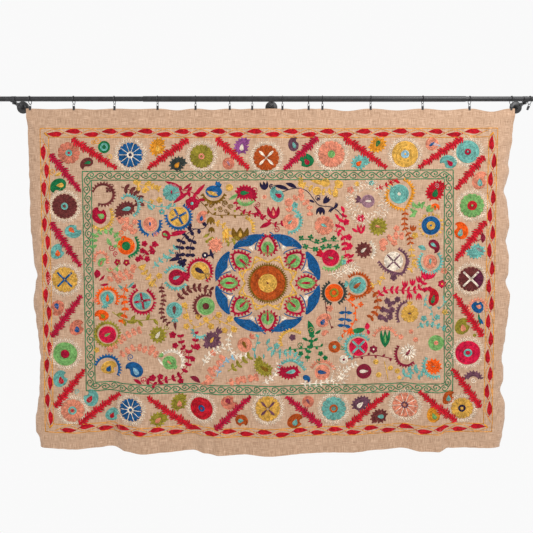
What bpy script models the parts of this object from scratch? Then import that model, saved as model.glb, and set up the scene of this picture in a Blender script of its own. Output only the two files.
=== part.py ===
"""A suzani, an embroidered linen wall hanging, clipped to a telescopic curtain rod on three wall brackets.

Metres, +Z up. The wall is the plane Y = 0 behind the part, the room is at -Y, and X runs along the rod.
The origin is the middle of the centre bracket's back face, where it meets the wall.
"""

import math

import bmesh
import bpy
from mathutils import Matrix, Vector

# The rod: a wide middle tube with a slimmer tube slid into each end
ROD_Y = -0.100
ROD_Z = 0.014
MAIN_RADIUS = 0.0125
MAIN_WALL = 0.0012
SLIM_RADIUS = 0.0110
SLIM_WALL = 0.0010
MAIN_SPAN = (-0.577, 0.872)
SLIM_ENDS = (-1.245, 1.200)
SLIM_INSIDE = 0.120
GAP = 0.0003
# Sides of the turned pieces
TUBE_SIDES = 24
PLATE_SIDES = 28
ARM_SIDES = 16
SCREW_SIDES = 12

# End caps: a flat button with a spigot in the tube's bore
CAP_RADIUS = 0.0135
CAP_LENGTH = 0.016
CAP_SHOULDER = 0.012
CAP_NOSE_RADIUS = 0.0108
CAP_SPIGOT = 0.018

# Brackets: a round wall plate, a stepped arm with a cradle for the rod, and a thumb screw
BRACKET_X = {"left": -1.162, "centre": 0.0, "right": 1.143}
PLATE_RADIUS = 0.0285
PLATE_BOSS_RADIUS = 0.0115
PLATE_DEPTH = 0.012
# The wall plate's rounded front: radius, depth from the wall
PLATE_FRONT = (
    (PLATE_RADIUS, 0.0),
    (PLATE_RADIUS, -0.0025),
    (0.0250, -0.0045),
    (0.0140, -0.0062),
    (PLATE_BOSS_RADIUS, -0.0082),
    (PLATE_BOSS_RADIUS, -PLATE_DEPTH),
)
ARM_RADII = (0.0095, 0.0075)
ARM_STEP_Y = -0.055
ARM_STEP_LENGTH = 0.001
ARM_END_Y = -0.0884
CRADLE_WALL = 0.0035
CRADLE_WIDTH = 0.022
CRADLE_OPENING_DEG = 84.0
# The way the cradle opens, turned from the wall's side up and over towards the room
CRADLE_OPENS_AT_DEG = 110.0
CRADLE_STEPS = 18
SCREW_RADIUS = 0.0020
SCREW_HEAD_RADIUS = 0.0045
SCREW_HEAD_LENGTH = 0.0085
SCREW_CHAMFER = 0.001
DRILL_REACH = 0.001

# Clip rings: a wire ring over the rod, and a spring clip whose loop hangs on the ring
RING_INNER = 0.0170
RING_WIRE = 0.0015
RING_SEGMENTS = (16, 6)
LOOP_INNER = 0.0045
LOOP_WIRE = 0.0008
LOOP_SEGMENTS = (8, 5)
CLIP_WIDTH = 0.009
FREE_CLIP_X = 1.161
FREE_CLIP_TILT_DEG = 22.0
# Half of the clip's folded steel outline: distance from its middle plane, height under the loop's centre
CLIP_OUTSIDE = (
    (0.0016, -0.0047),
    (0.0032, -0.0062),
    (0.0036, -0.0100),
    (0.0023, -0.0185),
    (0.0021, -0.0235),
)
CLIP_INSIDE = ((0.0013, -0.0235), (0.0013, -0.0172), (0.0024, -0.0105), (0.0018, -0.0078))

# The cloth's cut, flat: an embroidered field inside plain linen borders
FIELD_WIDTH = 2.064
FIELD_HEIGHT = 1.420
BORDER_LEFT = 0.060
BORDER_RIGHT = 0.076
BORDER_TOP = 0.086
BORDER_BOTTOM = 0.086
CLOTH_THICKNESS = 0.0020
CLOTH_MIDDLE_X = -0.013

# The heights at which it hangs
GRIP_Z = -0.029
FIELD_TOP_Z = -0.111
FIELD_BOTTOM_Z = -1.503
LOWER_EDGE_Z = -1.576
BELLY_SAG = 0.030
BELLY_HALF_SPAN = 1.080

# Where the clips hold the top edge: clip's x, then the edge's sag and the cloth's bulge up to the next clip
CLIPS = (
    (-1.087, 0.004, 0.005),
    (-0.890, 0.003, -0.005),
    (-0.707, 0.004, 0.006),
    (-0.513, 0.006, -0.006),
    (-0.342, 0.007, 0.005),
    (-0.188, 0.002, -0.004),
    (-0.087, 0.001, 0.004),
    (0.049, 0.003, -0.004),
    (0.167, 0.002, 0.003),
    (0.229, 0.009, -0.008),
    (0.446, 0.010, 0.008),
    (0.680, 0.006, -0.006),
    (0.891, 0.016, 0.010),
    (1.079, 0.000, 0.000),
)
FLAT_AT_CLIP = 0.0065
CLIP_BULGE_REACH = 0.420

# The lower edge: x, how far it dips below its even curve, how far it stands out into the room
LOWER_FOLDS = (
    (-1.110, 0.002, 0.000),
    (-0.900, -0.001, 0.004),
    (-0.810, -0.009, -0.004),
    (-0.739, -0.014, -0.018),
    (-0.669, -0.001, 0.010),
    (-0.598, 0.004, 0.024),
    (-0.485, -0.004, 0.006),
    (-0.362, -0.009, -0.014),
    (-0.300, 0.002, 0.004),
    (-0.243, 0.008, 0.020),
    (-0.120, 0.003, 0.006),
    (-0.017, 0.009, 0.012),
    (0.186, 0.000, 0.000),
    (0.377, -0.002, 0.004),
    (0.492, -0.010, -0.008),
    (0.600, -0.013, -0.018),
    (0.700, 0.002, 0.010),
    (0.770, 0.004, 0.022),
    (0.818, -0.006, -0.006),
    (0.890, -0.006, -0.010),
    (1.020, -0.001, 0.002),
    (1.100, 0.006, 0.006),
)
LOWER_FOLD_START = 0.62
FIELD_SHARE_OF_DIP = 0.70

# Each soft fold reaches its full height this share of the field's height under its start
SOFT_FOLD_RISE = 0.45
# Soft upright folds of the whole cloth: x of the crest, half width, height, where it starts, lean to the foot
SOFT_FOLDS = (
    (-0.960, 0.120, 0.007, 0.05, 0.020),
    (-0.720, 0.110, -0.006, 0.15, -0.015),
    (-0.470, 0.130, 0.008, 0.10, -0.040),
    (-0.250, 0.100, -0.006, 0.20, 0.015),
    (-0.020, 0.120, 0.005, 0.00, 0.000),
    (0.230, 0.120, -0.007, 0.10, 0.030),
    (0.500, 0.140, 0.008, 0.15, 0.030),
    (0.740, 0.100, -0.007, 0.05, 0.010),
    (0.950, 0.110, 0.007, 0.10, -0.020),
)

# How far the side borders roll back towards the wall: height, angle turned from seam to edge, degrees
LEFT_ROLL = (
    (-0.029, 0.0),
    (-0.060, 0.0),
    (-0.115, 26.0),
    (-0.350, 32.0),
    (-0.530, 34.0),
    (-0.660, 56.0),
    (-0.730, 66.0),
    (-0.785, 100.0),
    (-0.837, 72.0),
    (-0.905, 50.0),
    (-0.980, 72.0),
    (-1.055, 94.0),
    (-1.108, 122.0),
    (-1.155, 164.0),
    (-1.200, 134.0),
    (-1.250, 120.0),
    (-1.317, 108.0),
    (-1.370, 80.0),
    (-1.460, 50.0),
    (-1.510, 58.0),
    (-1.546, 100.0),
    (-1.600, 108.0),
)
RIGHT_ROLL = (
    (-0.029, 0.0),
    (-0.060, 0.0),
    (-0.115, 30.0),
    (-0.165, 30.0),
    (-0.269, 58.0),
    (-0.303, 48.0),
    (-0.355, 66.0),
    (-0.395, 86.0),
    (-0.450, 58.0),
    (-0.545, 38.0),
    (-0.628, 62.0),
    (-0.697, 36.0),
    (-0.767, 36.0),
    (-0.813, 60.0),
    (-0.880, 16.0),
    (-0.960, 34.0),
    (-1.080, 56.0),
    (-1.180, 80.0),
    (-1.215, 62.0),
    (-1.267, 64.0),
    (-1.317, 86.0),
    (-1.381, 46.0),
    (-1.450, 48.0),
    (-1.520, 64.0),
    (-1.600, 84.0),
)

# The cloth's grid: steps between clips, in the borders and down the field
ACROSS_STEP = 0.066
NARROWEST_COLUMN = 0.0045
ROLL_STEPS = 5
TOP_ROWS = (0.0, 0.012, 0.048)
FIELD_ROWS = 28
BOTTOM_ROWS = 3

# Shading turns sharp at edges that bend more than this
SHARP_DEG = 35.0
CLOTH_SHARP_DEG = 60.0

LINEN_COLOUR = (0.600, 0.420, 0.290)
BLACK_COLOUR = (0.013, 0.012, 0.013)


def smoothstep(low, high, value):
    """0 below low, 1 above high, and an even S curve between them."""
    share = min(1.0, max(0.0, (value - low) / (high - low)))
    return share * share * (3.0 - 2.0 * share)


def read_rows(rows, place, column):
    """The column's value at a place between the rows, turning smoothly at each row. Rows run either way."""
    rising = rows[-1][0] > rows[0][0]
    for before, after in zip(rows, rows[1:]):
        inside = place <= after[0] if rising else place >= after[0]
        if inside:
            share = smoothstep(0.0, 1.0, (place - before[0]) / (after[0] - before[0]))
            return before[column] + (after[column] - before[column]) * share
    return rows[-1][column]


def between_clips(x):
    """The clip before x, and the share of the way to the next, with the flat stretch at each left out."""
    for here, following in zip(CLIPS, CLIPS[1:]):
        if here[0] <= x <= following[0]:
            start, end = here[0] + FLAT_AT_CLIP, following[0] - FLAT_AT_CLIP
            return here, min(1.0, max(0.0, (x - start) / (end - start)))
    return CLIPS[0], 0.0


def top_edge(x):
    """How far the top edge sags below the clips' grip, and how far the cloth bulges into the room there."""
    clip, share = between_clips(x)
    wave = math.sin(math.pi * share) ** 2
    return clip[1] * wave, clip[2] * wave


def soft_folds(x, down):
    """How far the upright folds stand into the room. down is 0 at the field's top and 1 at its foot."""
    out = 0.0
    for crest, half_width, height, start, lean in SOFT_FOLDS:
        away = (x - crest - lean * down) / half_width
        if abs(away) < 1.0:
            grows = smoothstep(start, start + SOFT_FOLD_RISE, down)
            out += height * math.cos(math.pi / 2 * away) ** 2 * grows
    return out


def hanging_point(x, down_flat):
    """The cloth's middle layer at x, for a point of the flat cut this far under its top edge."""
    down = (down_flat - BORDER_TOP) / FIELD_HEIGHT
    in_field = min(1.0, max(0.0, down))
    sag, bulge = top_edge(x)
    dip = read_rows(LOWER_FOLDS, x, 1)
    out = read_rows(LOWER_FOLDS, x, 2)
    belly = BELLY_SAG * (1.0 - min(1.0, abs(x) / BELLY_HALF_SPAN) ** 2)
    grows = smoothstep(LOWER_FOLD_START, 1.0, down)
    top_z = GRIP_Z - sag
    foot_z = FIELD_BOTTOM_Z - FIELD_SHARE_OF_DIP * belly - FIELD_SHARE_OF_DIP * dip * grows
    if down < 0.0:
        z = top_z + (FIELD_TOP_Z - top_z) * down_flat / BORDER_TOP
    elif down <= 1.0:
        z = FIELD_TOP_Z + (foot_z - FIELD_TOP_Z) * in_field
    else:
        edge_z = LOWER_EDGE_Z - belly - dip
        z = foot_z + (edge_z - foot_z) * (down_flat - BORDER_TOP - FIELD_HEIGHT) / BORDER_BOTTOM
    bulge *= 1.0 - smoothstep(0.0, CLIP_BULGE_REACH, down_flat)
    bulge += soft_folds(x, in_field) + out * grows
    return Vector((x, ROD_Y - bulge, z))


def cloth_point(across, down_flat):
    """The cloth's middle layer, for a point this far across from its centre line and under its top edge."""
    half = FIELD_WIDTH / 2
    if abs(across) <= half:
        return hanging_point(CLOTH_MIDDLE_X + across, down_flat)
    side = math.copysign(1.0, across)
    seam = hanging_point(CLOTH_MIDDLE_X + side * half, down_flat)
    width, rows = (BORDER_RIGHT, RIGHT_ROLL) if side > 0 else (BORDER_LEFT, LEFT_ROLL)
    turn = math.radians(read_rows(rows, seam.z, 1))
    reached = abs(across) - half
    edge = hanging_point(seam.x + side * reached, down_flat)
    if turn < 1e-6:
        return edge
    angle = turn * reached / width
    out = width / turn * math.sin(angle)
    back = width / turn * (1.0 - math.cos(angle))
    return Vector((seam.x + side * out, seam.y + back, edge.z))


def material(name, colour, roughness, metallic=0.0):
    made = bpy.data.materials.new(name)
    made.use_nodes = True
    shader = made.node_tree.nodes["Principled BSDF"]
    shader.inputs["Base Color"].default_value = (*colour, 1.0)
    shader.inputs["Roughness"].default_value = roughness
    shader.inputs["Metallic"].default_value = metallic
    return made


def object_from(bm, name, finish, smooth_angle=SHARP_DEG):
    """Makes an object of the bmesh, shaded smooth with its real corners kept sharp."""
    bmesh.ops.recalc_face_normals(bm, faces=bm.faces)
    mesh = bpy.data.meshes.new(name)
    bm.to_mesh(mesh)
    bm.free()
    mesh.shade_smooth()
    mesh.set_sharp_from_angle(angle=math.radians(smooth_angle))
    mesh.materials.append(finish)
    made = bpy.data.objects.new(name, mesh)
    bpy.context.scene.collection.objects.link(made)
    return made


def turned(name, profile, finish, sides=TUBE_SIDES):
    """A body turned about its own Y axis from (radius, place along the axis) corners.

    A profile that keeps off the axis is closed, and makes a tube.
    """
    bm = bmesh.new()
    corners = [bm.verts.new((radius, along, 0.0)) for radius, along in profile]
    pairs = list(zip(corners, corners[1:]))
    if min(radius for radius, _ in profile) > 0.0:
        pairs.append((corners[-1], corners[0]))
    edges = [bm.edges.new(pair) for pair in pairs]
    bmesh.ops.spin(
        bm,
        geom=corners + edges,
        cent=(0, 0, 0),
        axis=(0, 1, 0),
        angle=math.tau,
        steps=sides,
        use_duplicate=False,
    )
    bmesh.ops.remove_doubles(bm, verts=bm.verts, dist=1e-6)
    return object_from(bm, name, finish)


def lie_along_x(obj, x, y, z):
    """Turns a body made about Y so that its axis lies along +X, and sets it in place."""
    obj.rotation_euler = (0.0, 0.0, -math.pi / 2)
    obj.location = (x, y, z)
    return obj


def tube(name, start, end, radius, wall, finish):
    inner = radius - wall
    profile = ((inner, 0.0), (radius, 0.0), (radius, end - start), (inner, end - start))
    return lie_along_x(turned(name, profile, finish), start, ROD_Y, ROD_Z)


def make_rod(finish):
    left, right = MAIN_SPAN
    tube("rod_main", left, right, MAIN_RADIUS, MAIN_WALL, finish)
    tube("rod_left", SLIM_ENDS[0], left + SLIM_INSIDE, SLIM_RADIUS, SLIM_WALL, finish)
    tube("rod_right", right - SLIM_INSIDE, SLIM_ENDS[1], SLIM_RADIUS, SLIM_WALL, finish)
    spigot = SLIM_RADIUS - SLIM_WALL - GAP
    for name, end, side in (("cap_left", SLIM_ENDS[0], -1), ("cap_right", SLIM_ENDS[1], 1)):
        profile = (
            (0.0, -CAP_SPIGOT),
            (spigot, -CAP_SPIGOT),
            (spigot, GAP),
            (CAP_RADIUS, GAP),
            (CAP_RADIUS, CAP_SHOULDER),
            (CAP_NOSE_RADIUS, CAP_LENGTH),
            (0.0, CAP_LENGTH),
        )
        placed = [(radius, side * along) for radius, along in profile]
        lie_along_x(turned(name, placed, finish), end, ROD_Y, ROD_Z)


def cutter(obj):
    """Marks a body that only shapes others."""
    obj.hide_render = True
    obj.display_type = "WIRE"
    return obj


def combine(obj, other, operation):
    step = obj.modifiers.new(operation.lower(), "BOOLEAN")
    step.operation = operation
    step.object = other
    return obj


def cradle(name, rod_radius, finish):
    """The open ring in which the rod lies, about the rod's axis, with its opening up and to the room."""
    inner = rod_radius + GAP
    outer = inner + CRADLE_WALL
    opening = math.radians(CRADLE_OPENING_DEG)
    start = math.radians(CRADLE_OPENS_AT_DEG) + opening / 2
    steps = CRADLE_STEPS
    turns = [start + (math.tau - opening) * i / steps for i in range(steps + 1)]
    bm = bmesh.new()
    ring = [(math.cos(a) * outer, math.sin(a) * outer) for a in turns]
    ring += [(math.cos(a) * inner, math.sin(a) * inner) for a in reversed(turns)]
    near = [bm.verts.new((-CRADLE_WIDTH / 2, y, z)) for y, z in ring]
    far = [bm.verts.new((CRADLE_WIDTH / 2, y, z)) for y, z in ring]
    count = len(ring)
    for i in range(count):
        bm.faces.new((near[i], near[(i + 1) % count], far[(i + 1) % count], far[i]))
    for i in range(steps):
        inside, inside_next = count - 1 - i, count - 2 - i
        bm.faces.new((near[i], near[i + 1], near[inside_next], near[inside]))
        bm.faces.new((far[i], far[i + 1], far[inside_next], far[inside]))
    return object_from(bm, name, finish)


def make_bracket(side, x, rod_radius, finish):
    """One bracket: the wall plate, the arm with its cradle, and the thumb screw under the rod."""
    plate_profile = ((0.0, 0.0), *PLATE_FRONT, (0.0, -PLATE_DEPTH))
    turned(f"plate_{side}", plate_profile, finish, PLATE_SIDES).location = (x, 0.0, 0.0)
    wide, slim = ARM_RADII
    arm_profile = (
        (0.0, -PLATE_DEPTH - GAP),
        (wide, -PLATE_DEPTH - GAP),
        (wide, ARM_STEP_Y),
        (slim, ARM_STEP_Y - ARM_STEP_LENGTH),
        (slim, ARM_END_Y),
        (0.0, ARM_END_Y),
    )
    arm = turned(f"arm_{side}", arm_profile, finish, ARM_SIDES)
    arm.location = (x, 0.0, 0.0)
    hook = cutter(cradle(f"cradle_{side}", rod_radius, finish))
    hook.location = (x, ROD_Y, ROD_Z)
    combine(arm, hook, "UNION")
    seat = ROD_Z - rod_radius - GAP
    under = seat - CRADLE_WALL - GAP
    hole = SCREW_RADIUS + GAP
    deep = -CRADLE_WALL - DRILL_REACH
    drill_profile = ((0.0, DRILL_REACH), (hole, DRILL_REACH), (hole, deep), (0.0, deep))
    drill = turned(f"drill_{side}", drill_profile, finish, SCREW_SIDES)
    drill.rotation_euler = (math.pi / 2, 0.0, 0.0)
    drill.location = (x, ROD_Y, seat)
    combine(arm, cutter(drill), "DIFFERENCE")
    top, bottom = seat, under - SCREW_HEAD_LENGTH
    screw_profile = (
        (0.0, top),
        (SCREW_RADIUS, top),
        (SCREW_RADIUS, under),
        (SCREW_HEAD_RADIUS, under),
        (SCREW_HEAD_RADIUS, bottom + SCREW_CHAMFER),
        (SCREW_HEAD_RADIUS - SCREW_CHAMFER, bottom),
        (0.0, bottom),
    )
    screw = turned(f"screw_{side}", screw_profile, finish, SCREW_SIDES)
    screw.rotation_euler = (math.pi / 2, 0.0, 0.0)
    screw.location = (x, ROD_Y, 0.0)


def ring_mesh(finish):
    """One wire ring about the X axis."""
    bpy.ops.mesh.primitive_torus_add(
        major_segments=RING_SEGMENTS[0],
        minor_segments=RING_SEGMENTS[1],
        major_radius=RING_INNER + RING_WIRE,
        minor_radius=RING_WIRE,
    )
    made = bpy.context.object
    made.data.transform(Matrix.Rotation(math.pi / 2, 4, "Y"))
    return finished_mesh(made, "ring", finish)


def finished_mesh(obj, name, finish):
    """The object's mesh with its modifiers done, for copies that share it. The object itself is removed."""
    graph = bpy.context.evaluated_depsgraph_get()
    mesh = bpy.data.meshes.new_from_object(obj.evaluated_get(graph))
    mesh.name = name
    mesh.materials.clear()
    mesh.materials.append(finish)
    mesh.shade_smooth()
    mesh.set_sharp_from_angle(angle=math.radians(SHARP_DEG))
    bpy.data.objects.remove(obj)
    return mesh


def clip_mesh(finish):
    """One spring clip of folded steel with its hanging loop, whose centre is the clip's origin."""
    half = list(CLIP_OUTSIDE + CLIP_INSIDE)
    outline = half + [(-y, z) for y, z in reversed(half)]
    bm = bmesh.new()
    corners = [bm.verts.new((-CLIP_WIDTH / 2, y, z)) for y, z in outline]
    face = bm.faces.new(corners)
    grown = bmesh.ops.extrude_face_region(bm, geom=[face])
    moved = [item for item in grown["geom"] if isinstance(item, bmesh.types.BMVert)]
    bmesh.ops.translate(bm, verts=moved, vec=(CLIP_WIDTH, 0.0, 0.0))
    body = object_from(bm, "clip_body", finish)
    bpy.ops.mesh.primitive_torus_add(
        major_segments=LOOP_SEGMENTS[0],
        minor_segments=LOOP_SEGMENTS[1],
        major_radius=LOOP_INNER + LOOP_WIRE,
        minor_radius=LOOP_WIRE,
    )
    loop = bpy.context.object
    loop.data.transform(Matrix.Rotation(math.pi / 2, 4, "X"))
    combine(body, loop, "UNION")
    mesh = finished_mesh(body, "clip", finish)
    bpy.data.objects.remove(loop)
    return mesh


def make_clip_rings(finish):
    """A ring and a clip for each place in CLIPS, and the one that hangs free past the right bracket."""
    ring, clip = ring_mesh(finish), clip_mesh(finish)
    places = [(row[0], 0.0) for row in CLIPS] + [(FREE_CLIP_X, math.radians(FREE_CLIP_TILT_DEG))]
    for number, (x, tilt) in enumerate(places, 1):
        radius = MAIN_RADIUS if MAIN_SPAN[0] < x < MAIN_SPAN[1] else SLIM_RADIUS
        ring_z = ROD_Z + radius + GAP - RING_INNER
        wire_z = ring_z - RING_INNER - RING_WIRE
        hang = LOOP_INNER - RING_WIRE - GAP
        hung_ring = bpy.data.objects.new(f"ring_{number:02d}", ring)
        hung_ring.location = (x, ROD_Y, ring_z)
        hung_clip = bpy.data.objects.new(f"clip_{number:02d}", clip)
        hung_clip.location = (x - math.sin(tilt) * hang, ROD_Y, wire_z - math.cos(tilt) * hang)
        hung_clip.rotation_euler = (0.0, tilt, 0.0)
        for made in (hung_ring, hung_clip):
            bpy.context.scene.collection.objects.link(made)


def cloth_columns():
    """The flat cut's columns, as distances from its centre line: flat at each clip, rolled at each side."""
    half = FIELD_WIDTH / 2
    left, right = -half - BORDER_LEFT, half + BORDER_RIGHT
    found = [left + BORDER_LEFT * i / ROLL_STEPS for i in range(ROLL_STEPS + 1)]
    found += [right - BORDER_RIGHT * i / ROLL_STEPS for i in range(ROLL_STEPS + 1)]
    held = [row[0] - CLOTH_MIDDLE_X for row in CLIPS]
    for place in held:
        found += [place - FLAT_AT_CLIP, place + FLAT_AT_CLIP]
    for before, after in zip(held, held[1:]):
        steps = max(1, round((after - before) / ACROSS_STEP))
        start, end = before + FLAT_AT_CLIP, after - FLAT_AT_CLIP
        found += [start + (end - start) * i / steps for i in range(1, steps)]
    kept = []
    for place in sorted(found):
        if not kept or place - kept[-1] > NARROWEST_COLUMN:
            kept.append(place)
    kept[-1] = right
    return kept


def cloth_rows():
    """The flat cut's rows, as distances under its top edge."""
    found = list(TOP_ROWS)
    found += [BORDER_TOP + FIELD_HEIGHT * i / FIELD_ROWS for i in range(FIELD_ROWS + 1)]
    end = BORDER_TOP + FIELD_HEIGHT
    found += [end + BORDER_BOTTOM * i / BOTTOM_ROWS for i in range(1, BOTTOM_ROWS + 1)]
    return found


def make_cloth(finish):
    """The hanging cloth: its middle layer with half the thickness on either side, and a rim all round."""
    columns, rows = cloth_columns(), cloth_rows()
    points = [[cloth_point(across, down) for across in columns] for down in rows]
    last_row, last_column = len(rows) - 1, len(columns) - 1
    bm = bmesh.new()
    layers = {}
    for side in (-1.0, 1.0):
        for r in range(last_row + 1):
            for c in range(last_column + 1):
                along = points[r][min(c + 1, last_column)] - points[r][max(c - 1, 0)]
                fall = points[min(r + 1, last_row)][c] - points[max(r - 1, 0)][c]
                normal = along.cross(fall).normalized()
                layers[side, r, c] = bm.verts.new(points[r][c] + normal * side * CLOTH_THICKNESS / 2)
    for r in range(last_row):
        for c in range(last_column):
            cell = ((r, c), (r, c + 1), (r + 1, c + 1), (r + 1, c))
            for side in (-1.0, 1.0):
                bm.faces.new([layers[(side, *corner)] for corner in cell])
    rim = [(0, c) for c in range(last_column + 1)]
    rim += [(r, last_column) for r in range(1, last_row + 1)]
    rim += [(last_row, c) for c in range(last_column - 1, -1, -1)]
    rim += [(r, 0) for r in range(last_row - 1, 0, -1)]
    for here, there in zip(rim, rim[1:] + rim[:1]):
        corners = ((-1.0, here), (-1.0, there), (1.0, there), (1.0, here))
        bm.faces.new([layers[(side, *place)] for side, place in corners])
    return object_from(bm, "cloth", finish, CLOTH_SHARP_DEG)


def build():
    for old in list(bpy.data.objects):
        bpy.data.objects.remove(old)
    linen = material("linen", LINEN_COLOUR, 0.9)
    black = material("black_enamel", BLACK_COLOUR, 0.42)
    make_rod(black)
    for side, x in BRACKET_X.items():
        radius = MAIN_RADIUS if MAIN_SPAN[0] < x < MAIN_SPAN[1] else SLIM_RADIUS
        make_bracket(side, x, radius, black)
    make_clip_rings(black)
    make_cloth(linen)


build()
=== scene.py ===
# %% [markdown]
# # A suzani on its curtain rod A suzani is a large embroidered hanging from Central Asia. This one is
# natural linen, 2.2 m wide, worked all over with flowers, leaves and pomegranates in dyed cotton. Fourteen
# clip rings hold it on a black rod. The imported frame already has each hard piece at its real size, so it is
# loaded first and dressed afterwards. Everything is in metres: X runs along the rod to the right, Z is up,
# and the room is on the -Y side.

# %% Load the frame
import math

import bmesh
import bpy
import numpy as np
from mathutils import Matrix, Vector


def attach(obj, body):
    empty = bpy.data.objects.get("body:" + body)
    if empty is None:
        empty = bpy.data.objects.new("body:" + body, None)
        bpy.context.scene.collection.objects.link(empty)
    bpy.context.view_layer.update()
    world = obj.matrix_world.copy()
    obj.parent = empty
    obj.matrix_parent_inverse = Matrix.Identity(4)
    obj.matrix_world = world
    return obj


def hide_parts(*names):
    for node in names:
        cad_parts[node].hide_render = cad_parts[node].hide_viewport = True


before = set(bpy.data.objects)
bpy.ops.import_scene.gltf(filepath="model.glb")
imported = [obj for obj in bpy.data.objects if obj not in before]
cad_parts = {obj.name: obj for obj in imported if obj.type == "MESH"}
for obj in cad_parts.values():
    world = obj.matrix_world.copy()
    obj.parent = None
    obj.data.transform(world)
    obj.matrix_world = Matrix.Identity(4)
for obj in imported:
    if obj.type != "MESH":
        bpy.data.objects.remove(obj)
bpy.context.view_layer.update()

# %% [markdown]
# The camera comes first, because the flowers are placed by where they show in the picture. The picture is
# 533 pixels square, and 549 pixels of focal length make the field of view. The camera looks slightly down.

# %% Camera
PICTURE_PIXELS = 533
FOCAL_PIXELS = 549
CAMERA_PLACE = (-0.0227, -2.60, -0.6312)
CAMERA_DOWN_DEG = 2.5
SENSOR_MM = 36.0

lens = bpy.data.cameras.new("camera")
lens.sensor_width = SENSOR_MM
lens.lens = SENSOR_MM * FOCAL_PIXELS / PICTURE_PIXELS
camera = bpy.data.objects.new("camera", lens)
camera.location = CAMERA_PLACE
camera.rotation_euler = (math.radians(90.0 - CAMERA_DOWN_DEG), 0.0, 0.0)
bpy.context.scene.collection.objects.link(camera)
bpy.context.scene.camera = camera
bpy.context.scene.view_settings.view_transform = "Standard"

# %% [markdown]
# A white studio wraps the cloth in even light. One large lamp above and to the right gives the folds their
# soft shade, and a weak one from the left keeps the other side open. The floor lies half a metre below.

# %% Studio
STUDIO_WHITE = 0.95
KEY_WATTS = 74.0
FILL_WATTS = 8.0
FLOOR_Z = -2.10


def lamp(name, place, target, size, watts):
    """A square soft light at a place, turned to its target."""
    light = bpy.data.lights.new(name, "AREA")
    light.size = size
    light.energy = watts
    made = bpy.data.objects.new(name, light)
    made.location = place
    made.rotation_euler = (Vector(target) - Vector(place)).to_track_quat("-Z", "Y").to_euler()
    bpy.context.scene.collection.objects.link(made)
    return made


lamp("key", (1.5, -2.2, 1.6), (0.0, -0.1, -0.8), 1.4, KEY_WATTS)
lamp("fill", (-2.4, -2.2, 0.2), (0.0, -0.1, -0.8), 1.6, FILL_WATTS)

world = bpy.data.worlds.new("studio")
world.use_nodes = True
world.node_tree.nodes["Background"].inputs["Color"].default_value = (1.0, 1.0, 1.0, 1.0)
world.node_tree.nodes["Background"].inputs["Strength"].default_value = STUDIO_WHITE
bpy.context.scene.world = world

# %% [markdown]
# Every finish is built by hand from shader nodes. Colours are written as the sRGB hex that a dyer's card
# would give, and one function turns them to the linear values that light needs. Another adds one node.

# %% Colour and nodes
def linear(hex_code):
    """The linear colour of an sRGB hex code such as B40A34."""
    shares = [int(hex_code[i : i + 2], 16) / 255.0 for i in (0, 2, 4)]
    return tuple(s / 12.92 if s <= 0.04045 else ((s + 0.055) / 1.055) ** 2.4 for s in shares) + (1.0,)


def add_node(tree, kind, settings, links):
    """Adds one node, sets its sockets or properties by name, and links its sockets to others' outputs."""
    made = tree.nodes.new(kind)
    for name, value in settings.items():
        if isinstance(name, int) or name in made.inputs:
            made.inputs[name].default_value = value
        else:
            setattr(made, name, value)
    for name, source in links.items():
        tree.links.new(source, made.inputs[name])
    return made


def new_material(name, roughness):
    """A material with its tree and its shader."""
    made = bpy.data.materials.new(name)
    made.use_nodes = True
    shader = made.node_tree.nodes["Principled BSDF"]
    shader.inputs["Roughness"].default_value = roughness
    return made, made.node_tree, shader


# %% [markdown]
# The studio floor is plain matt paint. It is stage, not part of the object.

# %% Floor
bpy.ops.object.select_all(action="DESELECT")
bpy.ops.mesh.primitive_plane_add(size=1.0, location=(0.0, -1.45, FLOOR_Z))
floor = bpy.context.object
floor.name = "studio_floor"
floor.scale = (4.4, 2.9, 1.0)
bpy.ops.object.transform_apply(location=True, rotation=True, scale=True)
floor_paint, _, floor_shader = new_material("matt_floor_paint", 0.9)
floor_shader.inputs["Base Color"].default_value = linear("EFEEEC")
floor.data.materials.append(floor_paint)

# %% [markdown]
# The rod, its caps, brackets, thumb screws, rings and clips are steel tube and wire in satin black enamel,
# sprayed and baked. Enamel pools a little, so a fine noise breaks its gloss and dents the surface by a few
# hundredths of a millimetre.

# %% Black enamel
ENAMEL_DENTS_PER_M = 900.0
ENAMEL_SMEARS_PER_M = 60.0

enamel, tree, shader = new_material("satin_black_enamel", 0.38)
place = add_node(tree, "ShaderNodeTexCoord", {}, {}).outputs["Object"]
smears = add_node(
    tree, "ShaderNodeTexNoise", {"Scale": ENAMEL_SMEARS_PER_M, "Detail": 3.0}, {"Vector": place}
)
tone = add_node(tree, "ShaderNodeValToRGB", {}, {"Fac": smears.outputs["Fac"]})
tone.color_ramp.elements[0].color = linear("131214")
tone.color_ramp.elements[0].position = 0.35
tone.color_ramp.elements[1].color = linear("29282B")
tone.color_ramp.elements[1].position = 0.75
tree.links.new(tone.outputs["Color"], shader.inputs["Base Color"])
gloss = add_node(
    tree, "ShaderNodeMapRange", {"To Min": 0.30, "To Max": 0.50}, {"Value": smears.outputs["Fac"]}
)
tree.links.new(gloss.outputs["Result"], shader.inputs["Roughness"])
dents = add_node(tree, "ShaderNodeTexNoise", {"Scale": ENAMEL_DENTS_PER_M, "Detail": 2.0}, {"Vector": place})
bump = add_node(
    tree, "ShaderNodeBump", {"Strength": 0.25, "Distance": 0.00005}, {"Height": dents.outputs["Fac"]}
)
tree.links.new(bump.outputs["Normal"], shader.inputs["Normal"])

for name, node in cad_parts.items():
    if name != "cloth":
        node.material_slots[0].material = enamel
print("enamelled nodes:", len(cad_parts) - 1)

# %% [markdown]
# The cloth was cut 2200 mm wide and 1592 mm long. An embroidered field lies inside plain borders. Held by
# clips, its top edge sags between them, the field's foot bows down in the middle, soft folds run down, and
# the side borders roll back to the wall. The sizes are those of the solid, so the sheet lies on its folds.

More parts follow.
